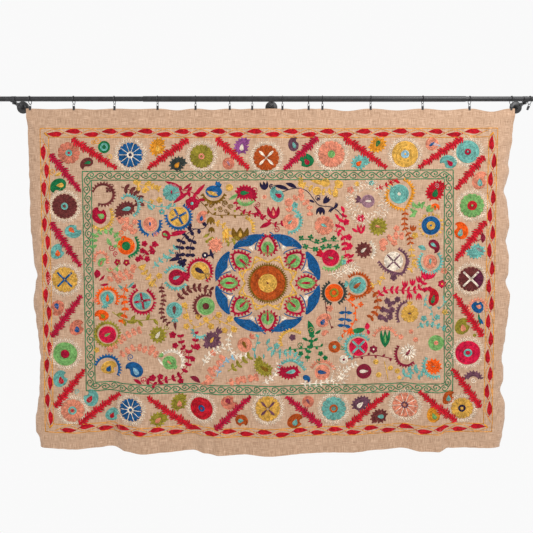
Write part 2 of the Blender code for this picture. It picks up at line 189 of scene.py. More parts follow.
# %% The cut and how it hangs
ROD_Y = -0.100
FIELD_WIDTH = 2.064
FIELD_HEIGHT = 1.420
BORDER_LEFT = 0.060
BORDER_RIGHT = 0.076
BORDER_TOP = 0.086
BORDER_BOTTOM = 0.086
CLOTH_WIDTH = BORDER_LEFT + FIELD_WIDTH + BORDER_RIGHT
CLOTH_LENGTH = BORDER_TOP + FIELD_HEIGHT + BORDER_BOTTOM
CLOTH_MIDDLE_X = -0.013
GRIP_Z = -0.029
FIELD_TOP_Z = -0.111
FIELD_BOTTOM_Z = -1.503
LOWER_EDGE_Z = -1.576
BELLY_SAG = 0.030
BELLY_HALF_SPAN = 1.080
FLAT_AT_CLIP = 0.0065
CLIP_BULGE_REACH = 0.420
LOWER_FOLD_START = 0.62
FIELD_SHARE_OF_DIP = 0.70
SOFT_FOLD_RISE = 0.45

# Clip's x, then the edge's sag and the cloth's bulge up to the next clip
CLIPS = np.array((
    (-1.087, 0.004, 0.005), (-0.890, 0.003, -0.005), (-0.707, 0.004, 0.006), (-0.513, 0.006, -0.006),
    (-0.342, 0.007, 0.005), (-0.188, 0.002, -0.004), (-0.087, 0.001, 0.004), (0.049, 0.003, -0.004),
    (0.167, 0.002, 0.003), (0.229, 0.009, -0.008), (0.446, 0.010, 0.008), (0.680, 0.006, -0.006),
    (0.891, 0.016, 0.010), (1.079, 0.000, 0.000),
))
# Along the lower edge: x, dip below the even curve, and how far it stands into the room
LOWER_FOLDS = np.array((
    (-1.110, 0.002, 0.000), (-0.900, -0.001, 0.004), (-0.810, -0.009, -0.004), (-0.739, -0.014, -0.018),
    (-0.669, -0.001, 0.010), (-0.598, 0.004, 0.024), (-0.485, -0.004, 0.006), (-0.362, -0.009, -0.014),
    (-0.300, 0.002, 0.004), (-0.243, 0.008, 0.020), (-0.120, 0.003, 0.006), (-0.017, 0.009, 0.012),
    (0.186, 0.000, 0.000), (0.377, -0.002, 0.004), (0.492, -0.010, -0.008), (0.600, -0.013, -0.018),
    (0.700, 0.002, 0.010), (0.770, 0.004, 0.022), (0.818, -0.006, -0.006), (0.890, -0.006, -0.010),
    (1.020, -0.001, 0.002), (1.100, 0.006, 0.006),
))
# Soft upright folds: x of the crest, half width, height, where it starts, lean to the foot
SOFT_FOLDS = (
    (-0.960, 0.120, 0.007, 0.05, 0.020), (-0.720, 0.110, -0.006, 0.15, -0.015),
    (-0.470, 0.130, 0.008, 0.10, -0.040), (-0.250, 0.100, -0.006, 0.20, 0.015),
    (-0.020, 0.120, 0.005, 0.00, 0.000), (0.230, 0.120, -0.007, 0.10, 0.030),
    (0.500, 0.140, 0.008, 0.15, 0.030), (0.740, 0.100, -0.007, 0.05, 0.010),
    (0.950, 0.110, 0.007, 0.10, -0.020),
)
# How far the side borders roll back: height, angle turned from seam to edge
LEFT_ROLL = np.array((
    (-0.029, 0.0), (-0.060, 0.0), (-0.115, 26.0), (-0.350, 32.0), (-0.530, 34.0), (-0.660, 56.0),
    (-0.730, 66.0), (-0.785, 100.0), (-0.837, 72.0), (-0.905, 50.0), (-0.980, 72.0), (-1.055, 94.0),
    (-1.108, 122.0), (-1.155, 164.0), (-1.200, 134.0), (-1.250, 120.0), (-1.317, 108.0), (-1.370, 80.0),
    (-1.460, 50.0), (-1.510, 58.0), (-1.546, 100.0), (-1.600, 108.0),
))
RIGHT_ROLL = np.array((
    (-0.029, 0.0), (-0.060, 0.0), (-0.115, 30.0), (-0.165, 30.0), (-0.269, 58.0), (-0.303, 48.0),
    (-0.355, 66.0), (-0.395, 86.0), (-0.450, 58.0), (-0.545, 38.0), (-0.628, 62.0), (-0.697, 36.0),
    (-0.767, 36.0), (-0.813, 60.0), (-0.880, 16.0), (-0.960, 34.0), (-1.080, 56.0), (-1.180, 80.0),
    (-1.215, 62.0), (-1.267, 64.0), (-1.317, 86.0), (-1.381, 46.0), (-1.450, 48.0), (-1.520, 64.0),
    (-1.600, 84.0),
))


def smoothstep(low, high, value):
    """0 below low, 1 above high, and an even S curve between them."""
    share = np.clip((value - low) / (high - low), 0.0, 1.0)
    return share * share * (3.0 - 2.0 * share)


def read_rows(rows, place, column):
    """The column's value at each place, turning smoothly at each row. Rows run either way."""
    rising = rows if rows[-1, 0] > rows[0, 0] else rows[::-1]
    before = np.clip(np.searchsorted(rising[:, 0], place) - 1, 0, len(rising) - 2)
    share = smoothstep(rising[before, 0], rising[before + 1, 0], place)
    return rising[before, column] + (rising[before + 1, column] - rising[before, column]) * share


def top_edge(x):
    """The top edge's sag and the cloth's bulge between two clips."""
    before = np.clip(np.searchsorted(CLIPS[:, 0], x) - 1, 0, len(CLIPS) - 2)
    start = CLIPS[before, 0] + FLAT_AT_CLIP
    end = CLIPS[before + 1, 0] - FLAT_AT_CLIP
    wave = np.sin(math.pi * np.clip((x - start) / (end - start), 0.0, 1.0)) ** 2
    return CLIPS[before, 1] * wave, CLIPS[before, 2] * wave


def hanging(x, under_top):
    """The cloth's middle layer at x, for points of the cut this far under its top edge."""
    down = (under_top - BORDER_TOP) / FIELD_HEIGHT
    in_field = np.clip(down, 0.0, 1.0)
    sag, bulge = top_edge(x)
    dip, out = read_rows(LOWER_FOLDS, x, 1), read_rows(LOWER_FOLDS, x, 2)
    belly = BELLY_SAG * (1.0 - np.minimum(1.0, np.abs(x) / BELLY_HALF_SPAN) ** 2)
    grows = smoothstep(LOWER_FOLD_START, 1.0, down)
    top_z = GRIP_Z - sag
    foot_z = FIELD_BOTTOM_Z - FIELD_SHARE_OF_DIP * belly - FIELD_SHARE_OF_DIP * dip * grows
    edge_z = LOWER_EDGE_Z - belly - dip
    z = FIELD_TOP_Z + (foot_z - FIELD_TOP_Z) * in_field
    z = np.where(down < 0.0, top_z + (FIELD_TOP_Z - top_z) * under_top / BORDER_TOP, z)
    past_field = (under_top - BORDER_TOP - FIELD_HEIGHT) / BORDER_BOTTOM
    z = np.where(down > 1.0, foot_z + (edge_z - foot_z) * past_field, z)
    bulge = bulge * (1.0 - smoothstep(0.0, CLIP_BULGE_REACH, under_top)) + out * grows
    for crest, half_width, height, start, lean in SOFT_FOLDS:
        away = np.clip((x - crest - lean * in_field) / half_width, -1.0, 1.0)
        rise = smoothstep(start, start + SOFT_FOLD_RISE, in_field)
        bulge = bulge + height * np.cos(math.pi / 2 * away) ** 2 * rise
    return np.stack((x, ROD_Y - bulge, z), axis=-1)


# %% [markdown]
# On top of the main folds the real cloth has small ones: a crease where it was folded in half, two more
# across, a few pleats in the side borders, and puckers all over, because stitches draw linen together. They
# are added as troughs and ridges in the cut's own sizes, so that the embroidery follows them too.

# %% Small folds
CREASES = (
    # across at the top, down at the top, across at the end, down at the end, half width, height
    (-0.001, 0.030, 0.002, 1.580, 0.011, 0.0016),
    (0.560, 0.792, 1.100, 0.790, 0.012, -0.0012),
    (0.600, 1.196, 1.100, 1.192, 0.012, 0.0014),
    (-1.060, 0.800, -0.900, 0.792, 0.012, -0.0012),
    (1.060, 0.560, 1.100, 0.700, 0.013, -0.0030),
    (1.075, 0.840, 1.098, 0.800, 0.012, 0.0030),
    (1.060, 1.200, 1.070, 1.330, 0.013, -0.0030),
    (-1.080, 0.040, -1.050, 0.110, 0.012, 0.0025),
    (-0.545, 1.515, -0.240, 1.512, 0.012, -0.0040),
    (-0.700, 1.440, -0.640, 1.592, 0.018, 0.0040),
    (0.795, 1.430, 0.830, 1.592, 0.016, -0.0040),
)
PUCKER_HEIGHT = 0.00055
PUCKER_LENGTHS = (0.050, 0.064, 0.083, 0.037, 0.110, 0.045)
PUCKER_TURN = 1.07
PUCKER_WANDER = 2.1
PUCKER_STRETCH = 3.1
CREASE_FADE = 0.08
UNDER_THE_JAWS = 0.012
TOP_KEPT_PLAIN = 0.030


def crease(across, under_top, start, end, half_width, height):
    """A soft ridge along a straight line of the cut, fading out at its ends."""
    along = np.array(end) - np.array(start)
    length = np.hypot(*along)
    share = ((across - start[0]) * along[0] + (under_top - start[1]) * along[1]) / length**2
    off = np.abs((across - start[0]) * along[1] - (under_top - start[1]) * along[0]) / length
    ending = smoothstep(1.0 - CREASE_FADE, 1.0 + CREASE_FADE, share)
    fade = smoothstep(-CREASE_FADE, CREASE_FADE, share) * (1.0 - ending)
    return height * (1.0 - smoothstep(0.0, half_width, off)) * fade


def small_folds(across, under_top):
    """How far creases and puckers lift the cloth, in metres."""
    lift = np.zeros_like(across)
    for x0, y0, x1, y1, half_width, height in CREASES:
        lift += crease(across, under_top, (x0, y0), (x1, y1), half_width, height)
    for turn, length in enumerate(PUCKER_LENGTHS):
        angle = turn * PUCKER_TURN
        along = across * math.cos(angle) + under_top * math.sin(angle)
        beside = across * math.sin(angle) - under_top * math.cos(angle)
        wander = PUCKER_WANDER * np.sin(math.tau * beside / (PUCKER_STRETCH * length))
        lift += PUCKER_HEIGHT * np.sin(math.tau * along / length + wander)
    return lift * smoothstep(0.0, TOP_KEPT_PLAIN, under_top - UNDER_THE_JAWS)


# %% [markdown]
# A fine grid of the cut is laid through these rules. It serves twice: the sheet itself is built on it, and
# every stitch later reads its place in the room from it, so nothing sewn can leave the cloth.

# %% The hanging grid
GRID_ACROSS = 240
GRID_DOWN = 174


def hang_the_cut(across, under_top):
    """The middle layer in the room for points of the cut: across from its centre line, under its top edge."""
    half = FIELD_WIDTH / 2
    seam_across = np.clip(across, -half, half)
    seam = hanging(CLOTH_MIDDLE_X + seam_across, under_top)
    reached = np.abs(across) - half
    side = np.sign(across)
    edge = hanging(CLOTH_MIDDLE_X + across, under_top)
    for rows, width, sign in ((LEFT_ROLL, BORDER_LEFT, -1.0), (RIGHT_ROLL, BORDER_RIGHT, 1.0)):
        turn = np.radians(read_rows(rows, seam[..., 2], 1))
        rolls = (reached > 0.0) & (side == sign) & (turn > 1e-6)
        turn = np.where(rolls, turn, 1.0)
        angle = turn * reached / width
        rolled = np.stack((
            seam[..., 0] + sign * width / turn * np.sin(angle),
            seam[..., 1] + width / turn * (1.0 - np.cos(angle)),
            edge[..., 2],
        ), axis=-1)
        edge = np.where(rolls[..., None], rolled, edge)
    return edge


def grid_normals(points):
    """Unit normals of a grid of points, on the side of the room."""
    along = np.gradient(points, axis=1)
    fall = np.gradient(points, axis=0)
    normal = np.cross(fall, along)
    return normal / np.linalg.norm(normal, axis=-1, keepdims=True)


cut_left = -FIELD_WIDTH / 2 - BORDER_LEFT
across_lines = cut_left + CLOTH_WIDTH * np.arange(GRID_ACROSS + 1) / GRID_ACROSS
down_lines = CLOTH_LENGTH * np.arange(GRID_DOWN + 1) / GRID_DOWN
cut_across, cut_down = np.meshgrid(across_lines, down_lines)
hung = hang_the_cut(cut_across, cut_down)
hung = hung + grid_normals(hung) * small_folds(cut_across, cut_down)[..., None]
hung_normal = grid_normals(hung)
print("hanging grid:", hung.shape, "normal at its middle:", hung_normal[GRID_DOWN // 2, GRID_ACROSS // 2])

# %% [markdown]
# The linen is one thin sheet: a front and a back layer with a rim between. At the edge it is folded over
# and stitched, so the outer 9 mm are twice as thick. The front layer's normals are the grid's own.

# %% The sheet
SHEET_THICKNESS = 0.0012
HEM_THICKNESS = 0.0020
HEM_WIDTH = 0.009


def grid_mesh(name, front, back, cut_place):
    """A closed sheet of a front and a back grid, with the cut's own metres as its UV map."""
    rows, columns = front.shape[:2]
    index = np.arange(rows * columns).reshape(rows, columns)
    under = index + rows * columns
    quads = [np.stack((index[:-1, :-1], index[1:, :-1], index[1:, 1:], index[:-1, 1:]), -1).reshape(-1, 4)]
    quads.append(
        np.stack((under[:-1, :-1], under[:-1, 1:], under[1:, 1:], under[1:, :-1]), -1).reshape(-1, 4)
    )
    rim = np.concatenate((index[0, :-1], index[:-1, -1], index[-1, :0:-1], index[:0:-1, 0]))
    after = np.roll(rim, -1)
    quads.append(np.stack((rim, after, after + rows * columns, rim + rows * columns), -1))
    faces = np.concatenate(quads)
    mesh = bpy.data.meshes.new(name)
    mesh.from_pydata(np.concatenate((front.reshape(-1, 3), back.reshape(-1, 3))), [], faces.tolist())
    uv = mesh.uv_layers.new(name="cut")
    flat = np.concatenate((cut_place.reshape(-1, 2),) * 2)
    uv.data.foreach_set("uv", flat[faces.ravel()].astype(np.float32).ravel())
    mesh.update()
    made = bpy.data.objects.new(name, mesh)
    bpy.context.scene.collection.objects.link(made)
    return made


from_edge = np.minimum.reduce((
    cut_across - cut_left, cut_left + CLOTH_WIDTH - cut_across, cut_down, CLOTH_LENGTH - cut_down,
))
thickness = np.where(from_edge < HEM_WIDTH, HEM_THICKNESS, SHEET_THICKNESS)[..., None]
linen_sheet = grid_mesh(
    "linen_ground",
    hung + hung_normal * thickness / 2,
    hung - hung_normal * thickness / 2,
    np.stack((cut_across, -cut_down), axis=-1),
)
linen_sheet.data.shade_smooth()
linen_sheet.data.set_sharp_from_angle(angle=math.radians(60.0))
print("linen faces:", len(linen_sheet.data.polygons))

# %% [markdown]
# Natural linen is woven from thick and thin flax yarn, so its surface is a fine grid of slubs: short pale
# and dark streaks along both threads, on a warm beige. The yarns themselves are about 1.1 mm apart, too
# fine to show at this distance, so the streaks are drawn about three yarns wide. Flax has no gloss, and the
# weave's height is a few tenths of a millimetre.

# %% Linen
YARN_STREAK_MM = 1.5
STREAK_LENGTH_MM = 42.0
MM = 0.001

linen, tree, shader = new_material("natural_linen_plain_weave", 0.92)
cut_uv = add_node(tree, "ShaderNodeUVMap", {"uv_map": "cut"}, {}).outputs["UV"]
wide, fine = 1.0 / (STREAK_LENGTH_MM * MM), 1.0 / (YARN_STREAK_MM * MM)
streaks = []
for scale in ((wide, fine, 1.0), (fine, wide, 1.0)):
    stretched = add_node(tree, "ShaderNodeMapping", {"Scale": scale}, {"Vector": cut_uv})
    noise = add_node(
        tree,
        "ShaderNodeTexNoise",
        {"Scale": 1.0, "Detail": 2.0, "Roughness": 0.6},
        {"Vector": stretched.outputs[0]},
    )
    streaks.append(noise.outputs["Fac"])
weave = add_node(tree, "ShaderNodeMath", {"operation": "ADD"}, {0: streaks[0], 1: streaks[1]})
weave_tone = add_node(
    tree, "ShaderNodeMapRange", {"From Min": 0.72, "From Max": 1.28}, {"Value": weave.outputs[0]}
)
ramp = add_node(tree, "ShaderNodeValToRGB", {}, {"Fac": weave_tone.outputs["Result"]})
ramp.color_ramp.elements[0].color = linear("87674F")
ramp.color_ramp.elements[1].color = linear("D2B196")
middle_tone = ramp.color_ramp.elements.new(0.5)
middle_tone.color = linear("AD8B70")
tree.links.new(ramp.outputs["Color"], shader.inputs["Base Color"])
shader.inputs["Sheen Weight"].default_value = 0.15
bump = add_node(
    tree, "ShaderNodeBump", {"Strength": 0.6, "Distance": 0.0006}, {"Height": weave.outputs[0]}
)
tree.links.new(bump.outputs["Normal"], shader.inputs["Normal"])
linen_sheet.data.materials.append(linen)

# %% [markdown]
# The flowers are worked in chain and satin stitch: rows of cotton thread laid side by side, each row about
# 5 mm wide and standing 1 mm proud of the linen. So everything sewn here is made of one thing, a row: a
# path on the flat cut, with a width at each point and a low ridge down its middle. A leaf is a few rows
# that close together at its ends, and a disc is rings of rows. All rows of one colour become one mesh. The
# flat cut is in millimetres here, x to the right of the middle and y down from the top edge.

# %% Rows of stitches
ROW_WIDTH = 5.2
STITCH_STEP = 6.0
ROW_FOOT_M = 0.0002
ROW_RIDGE_M = 0.0006
ROW_SWELL_M = 0.00022
WIDEST_SWELL = 4.0
LAYER_M = 0.0009
skeins = {}


def height_of(half_width):
    """How high a row stands, in metres: a wide one is a little higher."""
    return ROW_RIDGE_M + ROW_SWELL_M * np.minimum(half_width, WIDEST_SWELL)


def sew(colour, path, width, layer=0, closed=False, rows=None):
    """Lays rows of one colour side by side along a path, to fill the given width."""
    path = np.asarray(path, float)
    width = np.broadcast_to(np.asarray(width, float), (len(path),))
    if closed:
        along = np.roll(path, -1, axis=0) - np.roll(path, 1, axis=0)
    else:
        along = np.gradient(path, axis=0)
    along = along / np.maximum(np.hypot(along[:, 0], along[:, 1]), 1e-9)[:, None]
    beside = np.stack((-along[:, 1], along[:, 0]), axis=-1)
    count = rows or max(1, round(float(width.max()) / ROW_WIDTH))
    for number in range(count):
        offset = ((number + 0.5) / count - 0.5) * width
        middle = path + beside * offset[:, None]
        skeins.setdefault(colour, []).append((middle, beside, width / count / 2, layer, closed))


def smooth(points, step=STITCH_STEP):
    """A smooth curve through the points, with a new point about every stitch."""
    points = np.asarray(points, float)
    padded = np.concatenate((2 * points[:1] - points[1:2], points, 2 * points[-1:] - points[-2:-1]))
    found = []
    for p0, p1, p2, p3 in zip(padded, padded[1:], padded[2:], padded[3:]):
        count = max(1, math.ceil(np.hypot(*(p2 - p1)) / step))
        t = (np.arange(count) / count)[:, None]
        bend = 2 * p1 + (p2 - p0) * t + (2 * p0 - 5 * p1 + 4 * p2 - p3) * t**2
        found.append((bend + (3 * p1 - p0 - 3 * p2 + p3) * t**3) / 2)
    found.append(points[-1:])
    return np.concatenate(found)


# %% [markdown]
# Leaves, petals and drops are one shape with different widths along their length. A drop is round at its
# foot and pointed at its tip. A boteh, the paisley of these parts, is a drop whose tip curls over.
# Directions are in degrees as a clock turns: 0 points right, 90 down, 180 left and 270 up.

# %% Leaves and drops
END_OF_PROFILE = 0.015
PROFILE_POWER = 0.8
DROP_FAT_AT = 0.32
PETAL_FAT_AT = 0.62
BOTEH_BEND = 2.3
BOTEH_CURL_POWER = 2.2
BOTEH_STRETCH = 1.12
BOTEH_FAT_POWER = 0.62
BOTEH_TOOTH_MM = (13.0, 11.0)
TOOTH_FOOT_MM = 4.0


def toward(angle):
    """The unit step in a direction in degrees."""
    return np.array((math.cos(math.radians(angle)), math.sin(math.radians(angle))))


def leaf(colour, foot, tip, width, bend=0.0, layer=0, fat_at=0.5, rows=None):
    """A leaf from foot to tip, bowed sideways by bend. fat_at is where it is widest."""
    foot, tip = np.asarray(foot, float), np.asarray(tip, float)
    length = np.hypot(*(tip - foot))
    count = max(4, round(length / STITCH_STEP) + 1)
    share = np.linspace(0.0, 1.0, count)
    side = np.array((-(tip - foot)[1], (tip - foot)[0])) / max(length, 1e-9)
    path = foot + (tip - foot) * share[:, None] + side * (bend * np.sin(math.pi * share))[:, None]
    lean = math.log(0.5) / math.log(fat_at)
    kept = np.clip(share, END_OF_PROFILE, 1.0 - END_OF_PROFILE)
    profile = np.sin(math.pi * kept**lean) ** PROFILE_POWER
    sew(colour, path, width * profile, layer, rows=rows)


def drop(colour, foot, tip, width, layer=0):
    """A drop: round at its foot, pointed at its tip."""
    leaf(colour, foot, tip, width, layer=layer, fat_at=DROP_FAT_AT)


def boteh(colour, x, y, length, width, turn, curl=1.0, inner=None, spike=0.0):
    """A paisley about its middle, pointing to turn and curling to one side. inner is the colour of a drop
    on it, and spike the length of the teeth all round it."""
    count = max(8, round(length * 1.3 / STITCH_STEP))
    share = np.linspace(0.0, 1.0, count)
    heading = np.radians(turn) + curl * BOTEH_BEND * share**BOTEH_CURL_POWER
    step = length * BOTEH_STRETCH / count
    steps = np.stack((np.cos(heading), np.sin(heading)), axis=-1) * step
    profile = np.sin(math.pi * np.clip(share, 0.02, 0.985) ** BOTEH_FAT_POWER) ** PROFILE_POWER
    path = np.cumsum(steps, axis=0) - toward(turn) * length * 0.5 + np.array((x, y))
    sew(colour, path, width * profile)
    if spike:
        beside = np.stack((-steps[:, 1], steps[:, 0]), axis=-1) / step
        pitch, tooth_width = BOTEH_TOOTH_MM
        for side in (1.0, -1.0):
            edge = path + beside * (side * (width * profile / 2 - TOOTH_FOOT_MM))[:, None]
            teeth(colour, edge, pitch, spike + TOOTH_FOOT_MM, tooth_width, -side)
    if inner:
        foot, tip = path[round(count * 0.12)], path[round(count * 0.52)]
        drop(inner, foot, tip, width * 0.36, layer=1)


def path_at(path, gone, places):
    """The points of a path at these distances along it."""
    return np.stack((np.interp(places, gone, path[:, 0]), np.interp(places, gone, path[:, 1])), axis=-1)


def teeth(colour, path, pitch, length, width, side=1.0, closed=False):
    """Short stitches that stand out to one side of a path, as on a serrated edge."""
    path = np.asarray(path, float)
    if closed:
        path = np.concatenate((path, path[:1]))
    gone = np.concatenate(((0.0,), np.cumsum(np.hypot(*np.diff(path, axis=0).T))))
    count = max(1, round(gone[-1] / pitch))
    places = (np.arange(count) + 0.5) * gone[-1] / count
    along = path_at(path, gone, places + 1) - path_at(path, gone, places - 1)
    along = along / np.maximum(np.hypot(along[:, 0], along[:, 1]), 1e-9)[:, None]
    out = np.stack((along[:, 1], -along[:, 0]), axis=-1) * side
    for place, direction in zip(path_at(path, gone, places), out):
        tooth = (place, place + direction * length * 0.6, place + direction * length)
        sew(colour, tooth, (width, width * 0.8, 0.8), rows=1)


# %% [markdown]
# Round motifs are rings of rows. Around many discs runs a serrated arc, a "sun ray" edge, and some have a
# cross of four petals, spokes, or a small ring in their middle. A pomegranate is a disc with a crown.

# %% Discs, rings and arcs
def circle(x, y, radius, start=0.0, end=360.0, squash=1.0, lean=0.0):
    """Points along a circle or a part of one."""
    sweep = math.radians(end - start)
    count = max(9, round(abs(sweep) * radius / STITCH_STEP))
    closed = abs(end - start) >= 359.9
    turns = math.radians(start) + sweep * np.arange(count + (not closed)) / count
    flat = np.stack((np.cos(turns) * radius, np.sin(turns) * radius * squash), axis=-1)
    c, s = math.cos(math.radians(lean)), math.sin(math.radians(lean))
    return np.array((x, y)) + flat @ np.array(((c, s), (-s, c)))


def ring(colour, x, y, radius, width=4.5, layer=0):
    """A ring of thread."""
    sew(colour, circle(x, y, radius), width, layer, closed=True)


def disc(colour, x, y, radius, inside=0.0, layer=0, squash=1.0, lean=0.0):
    """A round or oval filled with rings of rows, open up to the inside radius."""
    count = max(1, round((radius - inside) / ROW_WIDTH))
    width = (radius - inside) / count
    for number in range(count):
        middle = radius - (number + 0.5) * width
        sew(colour, circle(x, y, middle, squash=squash, lean=lean), width, layer, closed=True, rows=1)


def comb(colour, path, width, tooth, side=1.0):
    """A band along a path, thin at its ends, with teeth on one side."""
    share = np.linspace(0.0, 1.0, len(path))
    sew(colour, path, width * (0.30 + 0.70 * np.sin(math.pi * share) ** 0.6))
    if tooth:
        teeth(colour, path, 12.0, tooth + width / 2, 10.0, side)


def rosette(colour, x, y, radius, petals):
    """A round flower of wedge petals side by side, with a scalloped edge."""
    reach = np.linspace(radius * 0.1, radius, max(4, round(radius / STITCH_STEP) + 1))
    width = math.tau * reach / petals
    width[-1] *= 0.5
    for number in range(petals):
        step = toward(360.0 / petals * number)
        sew(colour, np.array((x, y)) + step * reach[:, None], width)


def bars(colour, x, y, radius, width, turn, layer=1):
    """Four straight bars from the middle of a disc."""
    middle = np.array((x, y))
    for quarter in range(4):
        step = toward(turn + 90.0 * quarter)
        sew(colour, (middle + step * 3.0, middle + step * radius * 0.6, middle + step * radius), width, layer)


def cross(colour, x, y, radius, width):
    """A cross of four narrow petals, each widest two thirds of the way out."""
    middle = np.array((x, y))
    for quarter in range(4):
        reach = toward(45.0 + 90.0 * quarter) * radius
        leaf(colour, middle + reach * 0.06, middle + reach, width, layer=1, fat_at=PETAL_FAT_AT)


def spokes(colour, x, y, inside, outside, width, count):
    """Fine spokes over a disc."""
    middle = np.array((x, y))
    for number in range(count):
        step = toward(360.0 / count * number)
        foot, tip = middle + step * inside, middle + step * outside
        sew(colour, (foot, (foot + tip) / 2, tip), width, layer=1, rows=1)


def flower(colour, x, y, radius, petals=5, centre=None, turn=270.0):
    """Small petals round a middle."""
    middle = np.array((x, y))
    for number in range(petals):
        step = toward(turn + 360.0 / petals * number)
        foot, tip = middle + step * radius * 0.02, middle + step * radius * 1.1
        leaf(colour, foot, tip, radius * 0.98, fat_at=PETAL_FAT_AT)
    if centre:
        disc(centre, x, y, radius * 0.26, layer=1)


def crown(colour, x, y, turn, length, width, points=3):
    """A fan of short points, as on a pomegranate."""
    foot = np.array((x, y))
    for number in range(points):
        spread = (number - (points - 1) / 2) * 38.0
        leaf(colour, foot, foot + toward(turn + spread) * length, width, fat_at=0.45)


def pomegranate(colour, x, y, radius, turn):
    """A round fruit with a crown of three points at its side."""
    disc(colour, x, y, radius)
    foot = np.array((x, y)) + toward(turn) * radius * 0.85
    crown(colour, *foot, turn, radius * 0.56, radius * 0.30)


def tulip(colour, foot, tip, width, inner=None):
    """Three petals from one foot, the outer two curving away."""
    foot, tip = np.asarray(foot, float), np.asarray(tip, float)
    along = tip - foot
    side = np.array((-along[1], along[0])) / max(np.hypot(*along), 1e-9)
    leaf(colour, foot, tip, width * 0.55, fat_at=0.4)
    leaf(colour, foot, tip + side * width * 0.5, width * 0.42, bend=width * 0.14, fat_at=0.45)
    leaf(colour, foot, tip - side * width * 0.5, width * 0.42, bend=-width * 0.14, fat_at=0.45)
    if inner:
        drop(inner, foot + along * 0.25, foot + along * 0.75, width * 0.24, layer=1)


FERN_LEAN_DEG = 58.0
FERN_BARB_WIDTH = 9.5
BRANCH_STEM_WIDTH = 4.0
HERRINGBONE_PITCH = 15.0
HERRINGBONE_SLANT_DEG = 38.0


def fern(colour, path, spine, barb):
    """A spine, widest near its start, with barbs on both sides that lean to its end."""
    share = np.linspace(0.0, 1.0, len(path))
    profile = 0.35 + 0.65 * np.sin(math.pi * share**0.55) ** 0.5
    sew(colour, path, spine * profile, layer=1)
    along = np.gradient(path, axis=0)
    heading = np.degrees(np.arctan2(along[:, 1], along[:, 0]))
    for number in range(1, len(path) - 1, 2):
        for side in (1, -1):
            reach = barb * profile[number] * (0.85 + 0.25 * math.sin(number * 2.3 + side))
            foot = path[number] - toward(heading[number]) * 2.0
            tip = foot + toward(heading[number] + side * FERN_LEAN_DEG) * reach
            leaf(colour, foot, tip, FERN_BARB_WIDTH, layer=1, rows=1)


def spiral(colour, x, y, radius, turn=0.0, turns=1.4, width=3.6, way=1.0):
    """A curled tendril that starts at its outer end, which lies towards turn."""
    count = max(10, round(turns * math.tau * radius * 0.6 / 4.0))
    share = np.linspace(0.0, 1.0, count)
    angle = np.radians(turn) + way * turns * math.tau * share
    reach = radius * (1.0 - 0.86 * share)
    curl = np.stack((np.cos(angle) * reach, np.sin(angle) * reach), -1)
    sew(colour, np.array((x, y)) + curl, width, rows=1)


def branch(colour, points, leaf_length, leaf_width, spacing, lean=56.0, paired=True):
    """A stem with leaves along it, in pairs or by turns, leaning to its end."""
    path = smooth(points)
    sew(colour, path, BRANCH_STEM_WIDTH)
    gone = np.concatenate(((0.0,), np.cumsum(np.hypot(*np.diff(path, axis=0).T))))
    count = int(gone[-1] / spacing) if leaf_length else 0
    for number in range(count):
        at = np.searchsorted(gone, (number + 0.6) * gone[-1] / count)
        here, after = path[min(at, len(path) - 2)], path[min(at + 1, len(path) - 1)]
        heading = math.degrees(math.atan2(*(after - here)[::-1]))
        sides = (1, -1) if paired else ((1,) if number % 2 else (-1,))
        for side in sides:
            tip = here + toward(heading + side * lean) * leaf_length
            leaf(colour, here, tip, leaf_width * 1.25, bend=-side * leaf_width * 0.15)


def strokes(colour, x, y, inside, outside, clear_of, spacing=10.0, width=3.8):
    """Rings of slanted stitches round a motif, like a herringbone, clear of the discs in a list."""
    middle = np.array((x, y))
    for number, reach in enumerate(np.arange(inside, outside, HERRINGBONE_PITCH)):
        count = round(math.tau * reach / spacing)
        slant = HERRINGBONE_SLANT_DEG if number % 2 else -HERRINGBONE_SLANT_DEG
        for stitch in range(count):
            turn = 360.0 * (stitch + 0.35 * math.sin(stitch * 2.1 + number)) / count
            start = middle + toward(turn) * reach
            step = toward(turn + slant) * (18.0 + 5.0 * math.sin(stitch * 1.7))
            near = [np.hypot(*(start - np.array(other[:2]))) < other[2] + 16.0 for other in clear_of]
            if any(near):
                continue
            sew(colour, (start, start + step / 2, start + step), (width, width, 1.0), rows=1)


def halo(colour, x, y, inside, outside, count, width=2.6, slant=0.0):
    """Fine rays round a disc, every second one slanted one way and the others the other way."""
    for number in range(count):
        turn = 360.0 * (number + 0.3 * math.sin(number * 2.7)) / count
        reach = outside - (outside - inside) * 0.35 * (0.5 + 0.5 * math.sin(number * 1.9))
        foot = np.array((x, y)) + toward(turn) * inside
        tip = np.array((x, y)) + toward(turn + (slant if number % 2 else -slant)) * reach
        sew(colour, (foot, (foot + tip) / 2, tip), (width, width, 1.0), rows=1)

# %% [markdown]
# Where each motif lies was judged on the picture, so its place is a picture place, and its size is in
# millimetres. This function follows a line of sight from the camera to the cloth's plane and then finds the
# point of the flat cut that hangs there.

# %% From the picture to the cut
LINES_IN_FIELD = 16


def on_cloth(photo_x, photo_y):
    """The point of the flat cut, in millimetres, that shows at this place of the picture."""
    down = math.radians(CAMERA_DOWN_DEG)
    right = (photo_x - PICTURE_PIXELS / 2) / FOCAL_PIXELS
    below = (photo_y - PICTURE_PIXELS / 2) / FOCAL_PIXELS
    forward = math.cos(down) - below * math.sin(down)
    falling = -math.sin(down) - below * math.cos(down)
    far = (ROD_Y - CAMERA_PLACE[1]) / forward
    x = CAMERA_PLACE[0] + right * far
    z = CAMERA_PLACE[2] + falling * far
    in_field = np.linspace(BORDER_TOP, BORDER_TOP + FIELD_HEIGHT, LINES_IN_FIELD)
    lines = np.concatenate(((0.0,), in_field, (CLOTH_LENGTH,)))
    heights = hanging(np.full_like(lines, x), lines)[:, 2]
    under_top = np.interp(-z, -heights, lines)
    return np.array(((x - CLOTH_MIDDLE_X) / MM, under_top / MM))


def path_on_cloth(*places):
    """Points of the cut for places of the picture."""
    return [on_cloth(*place) for place in places]


